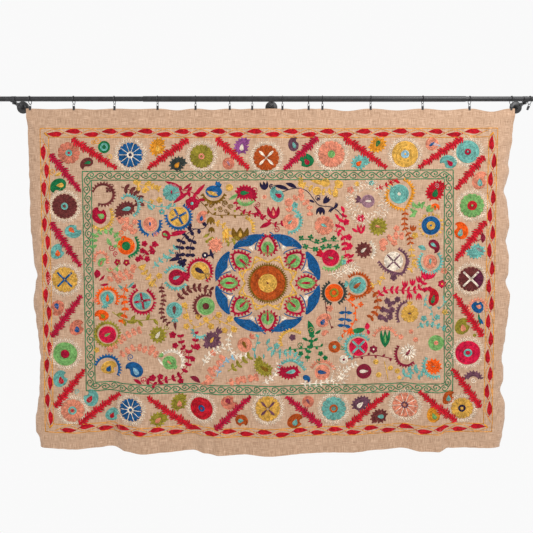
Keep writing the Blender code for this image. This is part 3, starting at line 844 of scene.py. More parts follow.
middle_of_medallion = on_cloth(267.7, 283.1)
print("the medallion's middle on the cut:", middle_of_medallion.round(1))

# %% [markdown]
# The frame round the field is a meander of amber thread between two amber lines, 39 mm apart, with a small
# red pod in each of its bays. It is worked out from the field's own size, and its upper side was sewn a few
# millimetres low.

# %% Amber frame with red pods
FIELD_LEFT_MM = -FIELD_WIDTH / 2 / MM
FIELD_RIGHT_MM = FIELD_WIDTH / 2 / MM
FRAME_DROP_MM = 5.0
FIELD_TOP_MM = BORDER_TOP / MM + FRAME_DROP_MM
FIELD_FOOT_MM = (BORDER_TOP + FIELD_HEIGHT) / MM
FRAME_BAND_MM = 39.0
POD_PITCH_MM = 84.0
POD_LENGTH_MM = 66.0
POD_WIDTH_MM = 24.0
POD_OFFSET_SHARE = 0.12
MEANDER_SHARE = 0.36
POD_FIRST_MM = 6.0
POD_LAST_MM = 50.0


def straight(start, end, step=12.0):
    """Points along a straight line."""
    start, end = np.asarray(start, float), np.asarray(end, float)
    count = max(2, math.ceil(np.hypot(*(end - start)) / step) + 1)
    return start + (end - start) * np.linspace(0.0, 1.0, count)[:, None]


def box_sides(inset):
    """The four sides of the field drawn in by inset, clockwise from the top left corner."""
    left, right = FIELD_LEFT_MM + inset, FIELD_RIGHT_MM - inset
    top, foot = FIELD_TOP_MM + inset, FIELD_FOOT_MM - inset
    corners = [np.array(c, float) for c in ((left, top), (right, top), (right, foot), (left, foot))]
    return list(zip(corners, corners[1:] + corners[:1]))


for inset in (2.0, 2.0 + FRAME_BAND_MM):
    for start, end in box_sides(inset):
        sew("amber", straight(start, end), 3.6)

for start, end in box_sides(2.0 + FRAME_BAND_MM / 2):
    along = (end - start) / np.hypot(*(end - start))
    inward = np.array((-along[1], along[0]))
    length = np.hypot(*(end - start)) - POD_FIRST_MM - POD_LAST_MM
    pods = 2 * round(length / POD_PITCH_MM / 2)
    pitch = length / pods
    gone = np.linspace(-0.1 * pitch, length + 0.3 * pitch, pods * 10)
    wave = -np.sin(math.pi * (gone / pitch)) * FRAME_BAND_MM * MEANDER_SHARE
    sew("amber", start + along * (POD_FIRST_MM + gone)[:, None] + inward * wave[:, None], 3.0)
    for number in range(pods):
        side = 1.0 if number % 2 else -1.0
        middle = start + along * (POD_FIRST_MM + (number + 0.5) * pitch)
        middle = middle - inward * side * FRAME_BAND_MM * POD_OFFSET_SHARE
        blunt, point = middle + along * POD_LENGTH_MM * 0.45, middle - along * POD_LENGTH_MM * 0.55
        leaf("scarlet", blunt, point, POD_WIDTH_MM, bend=3.0 * side, fat_at=0.34)
        tail = (blunt - along * 3.0, blunt + along * 6.0, blunt + along * 9.0 + inward * side * 7.0)
        sew("scarlet", smooth(tail, 4.0), 3.6, rows=1)

for x, y, turn in ((FIELD_LEFT_MM, FIELD_TOP_MM, 45.0), (FIELD_RIGHT_MM, FIELD_TOP_MM, 135.0),
                   (FIELD_RIGHT_MM, FIELD_FOOT_MM, 225.0), (FIELD_LEFT_MM, FIELD_FOOT_MM, 315.0)):
    corner = np.array((x, y)) + toward(turn) * FRAME_BAND_MM * 0.7
    leaf("amber", corner, corner + toward(turn) * 30.0, 8.0)

# %% [markdown]
# Inside the wide border runs a narrow one: two green lines 40 mm apart, and between them a wave that sends a
# curl into each of its bays, every 41 mm. A curl is drawn once and set into all bays, turned over in every
# second one.

# %% Green scroll border
SCROLL_BAND_MM = 40.0
SCROLL_PITCH_MM = 41.0
SCROLL_THREAD_MM = 4.8
SCROLL_WAVE_MM = 12.0
# One curl in a bay of the wave: share of the pitch ahead of its middle, then mm towards its own side.
CURL = (
    (-0.50, 0.0), (-0.40, 8.0), (-0.14, 14.0), (0.14, 12.0), (0.24, 4.0), (0.10, -3.0), (-0.10, 0.0),
    (-0.06, 6.0),
)
scroll_corners = path_on_cloth((82.4, 171.4), (453.3, 169.8), (453.0, 391.0), (86.4, 390.7))


def scroll_side(start, end):
    """One side of the scroll border: its two lines, its wave, and a curl in every bay of the wave."""
    along = (end - start) / np.hypot(*(end - start))
    inward = np.array((-along[1], along[0]))
    sew("scroll_green", straight(start, end), SCROLL_THREAD_MM)
    inner_start = start + (along + inward) * SCROLL_BAND_MM
    inner_end = end + (inward - along) * SCROLL_BAND_MM
    sew("scroll_green", straight(inner_start, inner_end), SCROLL_THREAD_MM)
    middle = start + (inward + along) * SCROLL_BAND_MM / 2
    length = np.hypot(*(end - start)) - SCROLL_BAND_MM
    count = 2 * round(length / SCROLL_PITCH_MM / 2)
    pitch = length / count
    gone = np.linspace(0.0, length, count * 8 + 1)
    wave = SCROLL_WAVE_MM * np.sin(math.pi * gone / pitch)
    sew("scroll_green", middle + along * gone[:, None] + inward * wave[:, None], SCROLL_THREAD_MM, rows=1)
    for number in range(count):
        side = 1.0 if number % 2 else -1.0
        here = middle + along * pitch * (number + 0.5)
        curl = [here + along * pitch * ahead + inward * side * across for ahead, across in CURL]
        sew("scroll_green", smooth(curl, 5.0), SCROLL_THREAD_MM, rows=1)


for start, end in zip(scroll_corners, scroll_corners[1:] + scroll_corners[:1]):
    scroll_side(np.array(start), np.array(end))

# %% [markdown]
# In the wide border, red bars like fern leaves run slantwise between round flowers. A bar is a spine with
# barbs on both sides that all point to its inner end. It lies over the flowers' rays. Table
# columns: colour, then photo x and y of both ends.

# %% Red fern bars
BAR_SPINE_MM = 16.24
BARB_MM = 28.0
BARS = (
    ("scarlet", 71.5, 139, 117, 169), ("scarlet", 188.6, 139, 147, 169), ("scarlet", 216, 138, 249, 169),
    ("crimson", 318, 137, 284, 170), ("scarlet", 344, 137, 386.5, 168), ("scarlet", 463, 138, 418, 168),
    ("scarlet", 484, 156, 455.5, 189.6), ("scarlet", 485.7, 221, 454.8, 261),
    ("scarlet", 482.3, 336.5, 454.6, 294), ("scarlet", 480.4, 407.4, 452.1, 368),
    ("scarlet", 457, 422, 419, 391), ("scarlet", 346, 427, 388.2, 393), ("crimson", 322, 427, 286, 396),
    ("crimson", 215, 429, 251, 396), ("scarlet", 191, 428, 148, 395.5), ("scarlet", 79.5, 424, 120, 394),
    ("scarlet", 55.4, 407, 85, 369), ("crimson", 52, 337, 82, 295), ("crimson", 51, 222, 81, 267),
    ("crimson", 50, 154, 81, 192),
)


for colour, start_x, start_y, end_x, end_y in BARS:
    path = straight(on_cloth(start_x, start_y), on_cloth(end_x, end_y), STITCH_STEP)
    fern(colour, path, BAR_SPINE_MM, BARB_MM)

# %% [markdown]
# Between the bars lie twenty round flowers, no two alike, with a halo of fine pale rays round all but one.
# Some are rings of rows, and others wedge petals side by side. Table columns: photo x and y, radius in mm,
# disc colour, petals (0 for rings), then the inner figure, its colour, its radius and a spot of another
# colour on it.

# %% Border flowers
BORDER_FLOWERS = (
    (68.9, 153.0, 50, "pink", 11, "ring", "teal", 15, "crimson"),
    (130.4, 155.0, 56, "blue", 18, "spokes", "cream", 15, "navy"),
    (201.5, 156.4, 53, "olive", 16, "ring", "salmon", 14, "olive"),
    (266.2, 158.0, 58, "rust", 16, "cross", "cream", 46, None),
    (331.4, 154.1, 60, "salmon", 16, "disc", "leaf_green", 17, None),
    (404.9, 154.3, 59, "yellow", 0, "disc", "sky", 19, "yellow"),
    (467.7, 151.8, 52, "teal", 0, "ring", "crimson", 14, "teal"),
    (471.9, 205.6, 55, "leaf_green", 14, "disc", "scarlet", 22, "leaf_green"),
    (470.4, 279.0, 57, "brown", 18, "bars", "cream", 47, None),
    (467.5, 352.6, 56, "cherry", 0, "ring", "teal", 19, "cherry"),
    (462.2, 408.4, 50, "yellow", 14, "ring", "navy", 17, "yellow"),
    (405.2, 405.4, 58, "salmon", 13, "spokes", "mauve", 16, "salmon"),
    (333.8, 408.7, 56, "teal", 12, "ring", "rust", 19, "teal"),
    (267.8, 407.8, 57, "yellow", 16, "cross", "mauve", 44, None),
    (201.5, 408.4, 52, "scarlet", 0, "ring", "blue", 15, "scarlet"),
    (131.3, 409.2, 53, "blue", 18, "spokes", "cream", 15, "blue"),
    (73.2, 409.8, 53, "salmon", 13, "ring", "teal", 19, "crimson"),
    (64.8, 206.3, 57, "brown", 20, "ring", "teal", 16, "brown"),
    (65.2, 279.5, 58, "yellow", 16, "bars", "blue", 46, None),
    (65.7, 353.6, 55, "leaf_green", 0, "disc", "crimson", 20, "crimson"),
)
for photo_x, photo_y, radius, colour, petals, figure, inner, inner_radius, spot in BORDER_FLOWERS:
    x, y = on_cloth(photo_x, photo_y)
    if petals:
        rosette(colour, x, y, radius, petals)
    else:
        disc(colour, x, y, radius)
    if colour != "pink":
        halo("ecru", x, y, radius + 2.0, radius + 26.0, 80, 3.0, 12.0)
    if figure == "ring":
        ring(inner, x, y, inner_radius - 4.0, 9.0, layer=1)
    elif figure == "disc":
        disc(inner, x, y, inner_radius, layer=1)
    elif figure == "cross":
        cross(inner, x, y, inner_radius, 12.0)
    elif figure == "bars":
        bars(inner, x, y, inner_radius, 9.0, 45.0)
    elif figure == "spokes":
        ring(inner, x, y, inner_radius - 3.0, 8.0, layer=1)
        spokes("cream", x, y, inner_radius, radius - 3.0, 3.2, 10)
    if spot:
        disc(spot, x, y, 5.0, layer=2)

# The flower at the right was finished with another skein: its right third is plum.
x, y = on_cloth(470.4, 279.0)
for number in range(-2, 3):
    reach = np.linspace(14.0, 56.0, 8)
    sew("plum", np.array((x, y)) + toward(number * 20.0) * reach[:, None], math.tau * reach / 18, layer=1)
bars("cream", x, y, 47, 9.0, 45.0, layer=2)

# %% [markdown]
# The medallion is built on circles, a little wider than high, as hand work is: a sun of three rings, a star
# of eight yellow points, eight petals, and eight blue crescents behind them. One petal is drawn about its
# own axis and set in eight places. Table columns: its middle's distance and direction, its reach out and
# in, half its width, how sharp its inner end is, and the green heart's half length, half width and shift
# inwards.

# %% Medallion's middle
MEDALLION_WIDE = 1.025
MEDALLION_HIGH = 0.95
SUN_RADIUS_MM = 79.0
SUN_YELLOW_MM = 43.0
STAR_TIP_MM = 139.0
STAR_DENT_MM = 100.0
centre_x, centre_y = middle_of_medallion


def around(radius, turn):
    """A point of the medallion, by its distance and direction on a circle before it is squeezed."""
    return middle_of_medallion + toward(turn) * radius * np.array((MEDALLION_WIDE, MEDALLION_HIGH))


disc("yellow", centre_x, centre_y, SUN_YELLOW_MM)
disc("rust", centre_x, centre_y, SUN_RADIUS_MM, SUN_YELLOW_MM)
disc("brown", centre_x, centre_y, 4.5, layer=1)
ring("bronze", centre_x, centre_y, SUN_RADIUS_MM + 3.5, 7.0)
teeth("bronze", circle(centre_x, centre_y, SUN_RADIUS_MM + 5.0), 10.0, 11.0, 7.0, closed=True)

star = []
for point in range(8):
    star.append(around(STAR_TIP_MM, 22.5 + 45.0 * point))
    star.append(around(STAR_DENT_MM, 45.0 + 45.0 * point))
for start, end in zip(star, star[1:] + star[:1]):
    sew("yellow", straight(start, end, 7.0), 9.0, rows=2)
for point in range(8):
    for side in (-1, 1):
        turn = 22.5 + 45.0 * point
        tip, foot = around(STAR_TIP_MM - 22.0, turn), around(STAR_DENT_MM + 12.0, turn + side * 8.0)
        sew("yellow", straight(tip, foot, 7.0), 6.0, rows=1)

# %% Petals and crescents
PETALS = (
    (172.5, 0, 54, 54, 37, 1.75, 42, 26, 0), (172.5, 180, 54, 54, 37, 1.75, 42, 26, 0),
    (173.5, 90, 62, 42, 42, 1.0, 32, 29, 6), (173.5, 270, 62, 42, 42, 1.0, 32, 29, 6),
    (158.0, 43, 60, 42, 42, 1.0, 33, 31, 4), (158.0, 137, 60, 42, 42, 1.0, 33, 31, 4),
    (158.0, 223, 60, 42, 42, 1.0, 33, 31, 4), (158.0, 317, 60, 42, 42, 1.0, 33, 31, 4),
)
CRESCENT_OUTSIDE_MM = 245.0
CRESCENT_TIP_MM = 232.0
CRESCENT_SPAN_DEG = 38.0
CRESCENT_THICK_MM = 52.0


def petal_outline(reach_out, reach_in, half_width, inner_point):
    """A petal's outline about its own middle, pointed outwards along +x, and also inwards where inner_point
    is over 1."""
    turns = np.linspace(0.0, math.tau, 41)[:-1]
    ahead = np.cos(turns) > 0.0
    sharp = np.where(ahead, 1.75, inner_point)
    x = np.where(ahead, reach_out, -reach_in) * np.abs(np.cos(turns)) ** sharp
    return np.stack((x, half_width * np.sin(turns)), axis=-1)


def turned_about(points, middle, turn):
    """Points drawn about the origin, turned and set round a middle."""
    c, s = math.cos(math.radians(turn)), math.sin(math.radians(turn))
    return middle + np.asarray(points) @ np.array(((c, s), (-s, c)))


for distance, turn, reach_out, reach_in, half_width, inner_point, heart_long, heart_wide, shift in PETALS:
    middle = around(distance, turn)
    outline = petal_outline(reach_out - 12.0, reach_in - 12.0, half_width - 6.0, inner_point)
    outline = turned_about(outline, middle, turn)
    sew("crimson", outline, 10.0, closed=True, rows=2)
    teeth("crimson", outline, 14.0, 15.0, 11.0, closed=True, side=1.0)
    heart = middle - toward(turn) * shift
    disc("leaf_green", *heart, heart_long, squash=heart_wide / heart_long, lean=turn)
    drop("crimson", heart + toward(turn) * 17.0, heart - toward(turn) * 27.0, 13.0, layer=1)
    rim = turned_about(petal_outline(reach_out + 8.0, reach_in, half_width + 14.0, 1.0), middle, turn)
    sew("blue", rim[1:12], 5.0, rows=1)
    sew("blue", rim[-12:-1], 5.0, rows=1)

for number in range(8):
    turn = 22.5 + 45.0 * number
    path, widths = [], []
    for share in np.linspace(0.0, 1.0, 17):
        swell = math.sin(math.pi * share) ** 0.8
        thick = 9.0 + (CRESCENT_THICK_MM - 9.0) * (1.0 - abs(2.0 * share - 1.0)) ** 0.8
        outside = CRESCENT_TIP_MM + (CRESCENT_OUTSIDE_MM - CRESCENT_TIP_MM) * swell
        path.append(around(outside - thick / 2, turn + (share - 0.5) * CRESCENT_SPAN_DEG))
        widths.append(thick)
    sew("blue", path, widths)
    leaf("cream", around(160.0, turn), around(196.0, turn), 31.0, fat_at=0.8)

# %% [markdown]
# The field is one garden. Every disc, pomegranate, boteh and tulip in it is a row of a table with its place
# in the picture and its size in millimetres, and the functions above sew them. First the round fruits and
# flowers, each with what lies on it. Bars have two colours in turn, and a drop lies aslant.

# %% Round motifs of the field
# disc colour, photo x, photo y, radius in mm, figure, its colour, its size in mm, its direction
ROUNDS = (
    ("yellow", 178.6, 216.6, 44, "bars", "blue", 40, 62),
    ("teal", 171.6, 192.4, 40, "petals", "crimson", 18, 90),
    ("orange", 126.1, 246.0, 40, "spot", "green", 20, 0), ("yellow", 229.3, 187.7, 17, "plain", "", 0, 0),
    ("teal", 107.1, 297.9, 31, "drop", "orange", 36, 270),
    ("teal", 142.3, 301.0, 41, "bars", "crimson", 37, 79),
    ("teal", 174.5, 310.0, 37, "drop", "brown", 40, 90),
    ("leaf_green", 205.8, 306.3, 41, "spot", "brown", 15, 0),
    ("cherry", 107.3, 334.8, 40, "drop", "leaf_green", 30, 330),
    ("crimson", 176.9, 277.4, 37, "fruit", "teal", 36, 335),
    ("yellow", 200.0, 271.0, 41, "fruit", "navy", 50, 30),
    ("leaf_green", 169.7, 362.2, 32, "fruit", "salmon", 26, 40),
    ("salmon", 244.7, 344.7, 34, "drop", "bronze", 36, 60),
    ("salmon", 322.4, 372.6, 36, "drop", "blue", 44, 10),
    ("cherry", 358.4, 346.8, 43, "bars", "teal", 39, 45),
    ("cream", 408.3, 352.1, 45, "rays", "maroon", 36, 300),
    ("orange", 334.2, 292.8, 41, "ring", "olive", 16, 0), ("teal", 357.5, 285.2, 39, "drop", "rust", 42, 320),
    ("cream", 393.3, 261.2, 44, "bars", "mauve", 42, 45),
    ("yellow", 409.7, 313.6, 41, "petals", "mauve", 16, 0),
    ("salmon", 430.5, 261.7, 33, "drop", "teal", 30, 90),
    ("salmon", 290.2, 222.0, 35, "drop", "teal", 26, 315),
    ("salmon", 324.2, 225.5, 44, "petals", "teal", 30, 30),
    ("cherry", 330.7, 257.8, 39, "fruit", "leaf_green", 26, 200),
    ("lilac", 368.0, 201.2, 30, "fruit", "cream", 28, 180), ("teal", 399.1, 194.0, 44, "spot", "cream", 8, 0),
    ("blue", 431.1, 225.5, 43, "disc", "yellow", 20, 0),
    ("mauve", 212.0, 340.0, 34, "spiky", "yellow", 30, 300), ("salmon", 264.5, 197.0, 10, "plain", "", 0, 0),
    ("orange", 433.5, 366.4, 30, "spiky", "teal", 12, 0),
    ("salmon", 150.2, 224.3, 33, "drop", "blue", 22, 90), ("green", 104.0, 147.0, 28, "ring", "teal", 14, 0),
    ("leaf_green", 436.3, 343.1, 36, "spot", "salmon", 11, 0),
    ("navy", 205.0, 255.3, 15, "spot", "cream", 5, 0), ("salmon", 215.3, 245.0, 28, "spiky", "", 0, 0),
    ("rust", 334.6, 347.0, 28, "spot", "teal", 9, 0), ("olive", 158.4, 334.5, 33, "spiky", "cream", 38, 300),
    ("olive", 378.0, 226.6, 35, "spiky", "salmon", 28, 20),
    ("brown", 363.6, 250.0, 31, "spiky", "cream", 32, 320),
    ("cream", 343.7, 359.5, 20, "spot", "maroon", 6, 0), ("olive", 206.1, 235.8, 8, "plain", "", 0, 0),
    ("olive", 212.3, 238.5, 8, "plain", "", 0, 0), ("olive", 206.9, 241.5, 8, "plain", "", 0, 0),
    ("olive", 215.3, 209.4, 6, "plain", "", 0, 0), ("olive", 234.8, 210.9, 6, "plain", "", 0, 0),
    ("yellow", 300.9, 184.1, 14, "plain", "", 0, 0), ("yellow", 325.4, 182.6, 20, "plain", "", 0, 0),
    ("yellow", 339.2, 184.5, 18, "plain", "", 0, 0), ("yellow", 317.0, 191.0, 19, "plain", "", 0, 0),
    ("yellow", 335.0, 193.3, 12, "plain", "", 0, 0), ("salmon", 288.7, 202.5, 19, "plain", "", 0, 0),
    ("salmon", 300.9, 195.6, 14, "plain", "", 0, 0), ("salmon", 304.0, 204.0, 8, "plain", "", 0, 0),
    ("salmon", 309.7, 214.0, 8, "plain", "", 0, 0), ("salmon", 382.8, 242.3, 18, "plain", "", 0, 0),
    ("cherry", 426.7, 289.0, 9, "plain", "", 0, 0), ("cherry", 442.0, 284.0, 13, "plain", "", 0, 0),
    ("cherry", 366.6, 326.9, 10, "plain", "", 0, 0), ("maroon", 482.9, 237.7, 8, "plain", "", 0, 0),
    ("olive", 474.0, 335.0, 8, "plain", "", 0, 0), ("maroon", 363.8, 371.2, 35, "drop", "cream", 40, 0),
    ("yellow", 375.7, 361.7, 13, "plain", "", 0, 0), ("yellow", 390.3, 368, 13, "plain", "", 0, 0),
    ("yellow", 397.4, 371, 13, "plain", "", 0, 0), ("yellow", 378.5, 374.6, 13, "plain", "", 0, 0),
    ("yellow", 399.3, 377.7, 10, "plain", "", 0, 0), ("pink", 228.5, 163.5, 27, "drop", "lilac", 26, 60),
    ("pink", 308, 401.6, 28, "drop", "mauve", 28, 60), ("salmon", 432, 144, 30, "drop", "blue", 30, 320),
)
rounds_at = []
for colour, photo_x, photo_y, radius, figure, inner, size, turn in ROUNDS:
    x, y = on_cloth(photo_x, photo_y)
    rounds_at.append((x, y, radius))
    if figure == "petals":
        rosette(colour, x, y, radius, 11)
    elif figure == "rays":
        disc(colour, x, y, radius * 0.35)
        halo(colour, x, y, radius * 0.4, radius, 26, 5.5)
    elif figure == "fruit":
        pomegranate(colour, x, y, radius, turn)
    else:
        disc(colour, x, y, radius)
    if figure == "spiky":
        teeth(colour, circle(x, y, radius - 4.0), 14.0, 13.0, 11.5, closed=True)
    if figure == "bars":
        bars(inner, x, y, size, 7.5 if colour == "cream" else 10.5, turn)
    elif figure == "spot":
        disc(inner, x, y, size, layer=1)
    elif figure == "ring":
        ring(inner, x, y, size, 9.0, layer=1)
    elif figure == "disc":
        disc(inner, x, y, size, layer=1)
        disc(colour, x, y, 5.0, layer=2)
    elif inner:
        foot = np.array((x, y)) - toward(turn) * size * 0.5
        drop(inner, foot, foot + toward(turn) * size, size * 0.42, layer=1)

# Yellow rays stand round the blue disc, and cream herringbone fills the ground round the lilac pomegranate.
halo("yellow", *on_cloth(431.1, 225.5), 47, 63, 34, 6.5)
strokes("ecru", *on_cloth(368.0, 203.0), 46.0, 98.0, rounds_at)
strokes("ecru", *on_cloth(338.0, 376.0), 6.0, 46.0, rounds_at)
strokes("ecru", *on_cloth(352.0, 268.0), 6.0, 36.0, rounds_at)

# The blue pomegranate under the medallion's upper left is a flat oval with a yellow leaf across it.
x, y = on_cloth(213.8, 191.6)
disc("blue", x, y, 38, squash=0.71)
leaf("yellow", (x - 33.0, y - 2.0), (x + 19.0, y + 19.0), 17.0, layer=1)
crown("blue", x + 18.0, y - 26.0, 300, 18, 24, 3)

# %% [markdown]
# Serrated lines are the mark of this needlework: a bow with teeth like a sickle or a comb, open on one
# side, that holds a fruit. Some bows are parts of circles, and others are free curves.

# %% Serrated bows
# colour, photo x, photo y, radius in mm, from and to in degrees
BOWS = (
    ("brown", 103.3, 194.4, 46, 190, 480), ("blue", 178.6, 216.6, 53, -70, 190),
    ("bronze", 213.7, 191.5, 49, 10, 170), ("crimson", 199.9, 271.1, 51, 150, 420),
    ("teal", 176.3, 277.6, 49, 200, 330), ("teal", 176.3, 277.6, 49, 30, 160),
    ("orange", 107.4, 298.1, 44, 140, 400), ("crimson", 142.6, 301.1, 53, 0, 250),
    ("crimson", 142.6, 301.1, 53, 290, 355), ("brown", 205.8, 306.3, 50, 110, 300),
    ("olive", 107.1, 334.3, 52, 0, 359), ("teal", 357.8, 346.8, 54, 110, 330),
    ("charcoal", 334.2, 292.8, 49, 100, 250), ("charcoal", 334.2, 292.8, 49, 290, 430),
    ("rust", 357.5, 285.2, 51, 220, 500), ("teal", 430.5, 261.7, 49, -50, 230),
    ("teal", 289.6, 220.8, 50, -80, 100), ("leaf_green", 330.6, 257.6, 52, -10, 130),
    ("teal", 434.6, 366.1, 49, 60, 230), ("salmon", 384.8, 338.5, 49, 190, 350),
    ("salmon", 322.4, 372.6, 51, 200, 350), ("cream", 172.0, 361.4, 49, 220, 400),
    ("blue", 107.4, 367.9, 53, 190, 400), ("teal", 199.6, 331.0, 29, 30, 200),
    ("mauve", 473.0, 380.0, 35, 185, 355), ("salmon", 477.3, 307.5, 36, 150, 390),
    ("blue", 150.2, 224.3, 46, 95, 205), ("blue", 150.2, 224.3, 46, -25, 82),
    ("mauve", 473, 380, 25, 190, 350), ("ecru", 364, 250.5, 45, -60, 50),
)
for colour, photo_x, photo_y, radius, start, end in BOWS:
    comb(colour, circle(*on_cloth(photo_x, photo_y), radius, start, end), 12.5, 8.0)

# colour, side of the teeth, photo places
COMBS = (
    ("teal", 1, (122.6, 199.7), (125.6, 196.2), (131.4, 196.2), (137.3, 199.7), (138.5, 205.6),
     (137.3, 211.4), (132.6, 215.5)),
    ("yellow", 1, (282.5, 346), (280.5, 339), (284.5, 333), (292, 330.5), (301, 334)),
    ("yellow", 1, (109.7, 208.5), (112, 216.7), (109, 224.3), (100.9, 229), (92.7, 225)),
    ("green", 1, (134.9, 236.7), (137.9, 244.3), (136.1, 251.9), (127.9, 256.6)),
    ("yellow", 1, (245, 217.9), (250.4, 220.8), (252.7, 226), (252, 232.6)),
    ("mauve", -1, (378.6, 260.6), (382.7, 266.4), (389.7, 271.5), (400.9, 273.5), (405.2, 267.6),
     (406.6, 260.6), (404.4, 253.7), (397.4, 249)),
    ("mauve", -1, (407.9, 301.8), (401.5, 304.2), (398, 309.4), (397.4, 316.3), (399.1, 322.2)),
    ("maroon", -1, (399.1, 345.6), (396.4, 350.9), (396.4, 357.3), (400.5, 363.8), (407.9, 365.5),
     (413.6, 361.4)),
    ("teal", 1, (279, 368.5), (282.5, 363.3), (289.6, 360.4), (295.4, 361.6), (300.7, 365.7), (304.8, 370.8)),
    ("amber", -1, (391.7, 184.0), (388.4, 190.9), (386.8, 197.3), (390.3, 203.8), (397.4, 207.7), (405, 209)),
    ("amber", -1, (405, 209), (409.7, 200.9), (412.6, 193.2), (411.5, 186.8), (407.4, 182.1), (402.8, 180)),
    ("salmon", 1, (95, 262), (96, 255), (101, 252.5), (106, 256), (106.5, 264)),
    ("leaf_green", 1, (236.7, 200), (240, 203.5), (245, 205.0), (250, 203.8), (255, 200.6)),
)
for colour, side, *places in COMBS:
    comb(colour, smooth(path_on_cloth(*places)), 12.0, 8.0, side)

# %% [markdown]
# Botehs, the drops with a curled tip, come in all sizes here, most with a smaller drop of another colour.
# Some have teeth all round.

# %% Botehs
# colour, inner colour, photo x, photo y, length and width in mm, direction of the tip, curl
BOTEHS = (
    ("teal", "crimson", 450, 161, 77, 59, 240, -1), ("green", "crimson", 307, 160, 72, 63, 250, -1),
    ("salmon", "teal", 478, 181, 84, 66, 250, 1), ("rust", "teal", 447.5, 398, 67, 59, 250, 1),
    ("rust", "teal", 241, 419, 61, 55, 340, 1), ("pink", "maroon", 228, 402.5, 72, 65, 70, -1),
    ("teal", "scarlet", 91.7, 399, 79, 69, 320, -1), ("teal", "scarlet", 60, 379, 77, 69, 240, 1),
    ("pink", "blue", 76, 328, 74, 65, 250, 1), ("pink", "blue", 59, 307, 72, 63, 60, 1),
    ("teal", "orange", 57, 252, 72, 65, 250, 1), ("teal", "orange", 72, 232, 72, 63, 60, -1),
    ("green", "yellow", 58.5, 184, 81, 59, 190, -1), ("crimson", "leaf_green", 99.2, 216.7, 74, 70, 190, 1),
    ("salmon", "blue", 200.5, 217.3, 66, 44, 260, 1), ("leaf_green", "pink", 100.3, 262, 52, 28, 270, 1),
    ("yellow", "blue", 107.4, 367.9, 70, 66, 280, 1), ("salmon", "blue", 322.4, 320.4, 74, 60, 280, 1),
    ("orange", "green", 122.6, 239, 34, 22, 260, 1), ("salmon", "", 324, 333, 40, 24, 290, 1),
    ("yellow", "", 144.5, 190, 40, 24, 300, 1), ("orange", "teal", 462.2, 231.4, 81, 64, 300, -1),
    ("blue", "salmon", 477.3, 307.5, 61, 55, 180, 1), ("olive", "salmon", 461, 327, 77, 67, 240, 1),
    ("amber", "leaf_green", 431.8, 415, 74, 59, 230, 1), ("rust", "teal", 294, 421, 70, 69, 270, 1),
    ("orange", "olive", 102.8, 314.8, 64, 50, 240, -1), ("blue", "sky", 136.6, 368.5, 86, 64, 250, -1),
    ("blue", "", 306.5, 377.3, 44, 26, 0, 1), ("scarlet", "green", 435.5, 297.4, 92, 48, 295, -1),
    ("maroon", "teal", 435.3, 244.3, 70, 42, 20, 1), ("teal", "crimson", 276.6, 196.2, 76, 56, 190, 1),
    ("crimson", "leaf_green", 166.4, 234.0, 50, 36, 10, 1), ("brown", "green", 86.5, 161.5, 70, 42, 186, -1),
    ("teal", "scarlet", 110.4, 415, 72, 59, 280, 1), ("mauve", "teal", 292.5, 145, 68, 48, 230, 1),
)
for colour, inner, photo_x, photo_y, length, width, turn, curl in BOTEHS:
    boteh(colour, *on_cloth(photo_x, photo_y), length, width, turn, curl, inner or None)

SPIKY_BOTEHS = (
    ("brown", "teal", 124.5, 207.5, 98, 54, 185, -1), ("crimson", "green", 246.0, 191.0, 98, 56, 340, 1),
    ("scarlet", "green", 434.3, 190.6, 90, 72, 270, 1), ("crimson", "teal", 289.0, 374.0, 106, 52, 155, 1),
    ("olive", "bronze", 262.0, 369.0, 98, 52, 190, 1), ("teal", "", 476.6, 252.0, 74, 58, 120, 1),
    ("brown", "teal", 379.5, 415.2, 72, 58, 200, -1), ("mauve", "cream", 359.8, 402.8, 78, 62, 300, 1),
    ("amber", "yellow", 156.5, 147.5, 72, 62, 250, 1), ("charcoal", "amber", 176.5, 163.5, 70, 56, 290, 1),
    ("violet", "cream", 240.5, 146, 74, 56, 260, 1), ("teal", "orange", 359, 161.5, 74, 56, 300, 1),
    ("amber", "green", 378.5, 145, 70, 60, 100, 1), ("olive", "salmon", 178, 402.5, 76, 62, 250, 1),
    ("olive", "salmon", 158.5, 417.5, 70, 60, 300, 1),
)
for colour, inner, photo_x, photo_y, length, width, turn, curl in SPIKY_BOTEHS:
    boteh(colour, *on_cloth(photo_x, photo_y), length, width, turn, curl, inner or None, spike=8.0)

# %% [markdown]
# Branches tie the fruits together. Most have small leaves on both sides, some by turns. Where a branch ends
# there is often a tulip or a spiral, worked from a separate table.

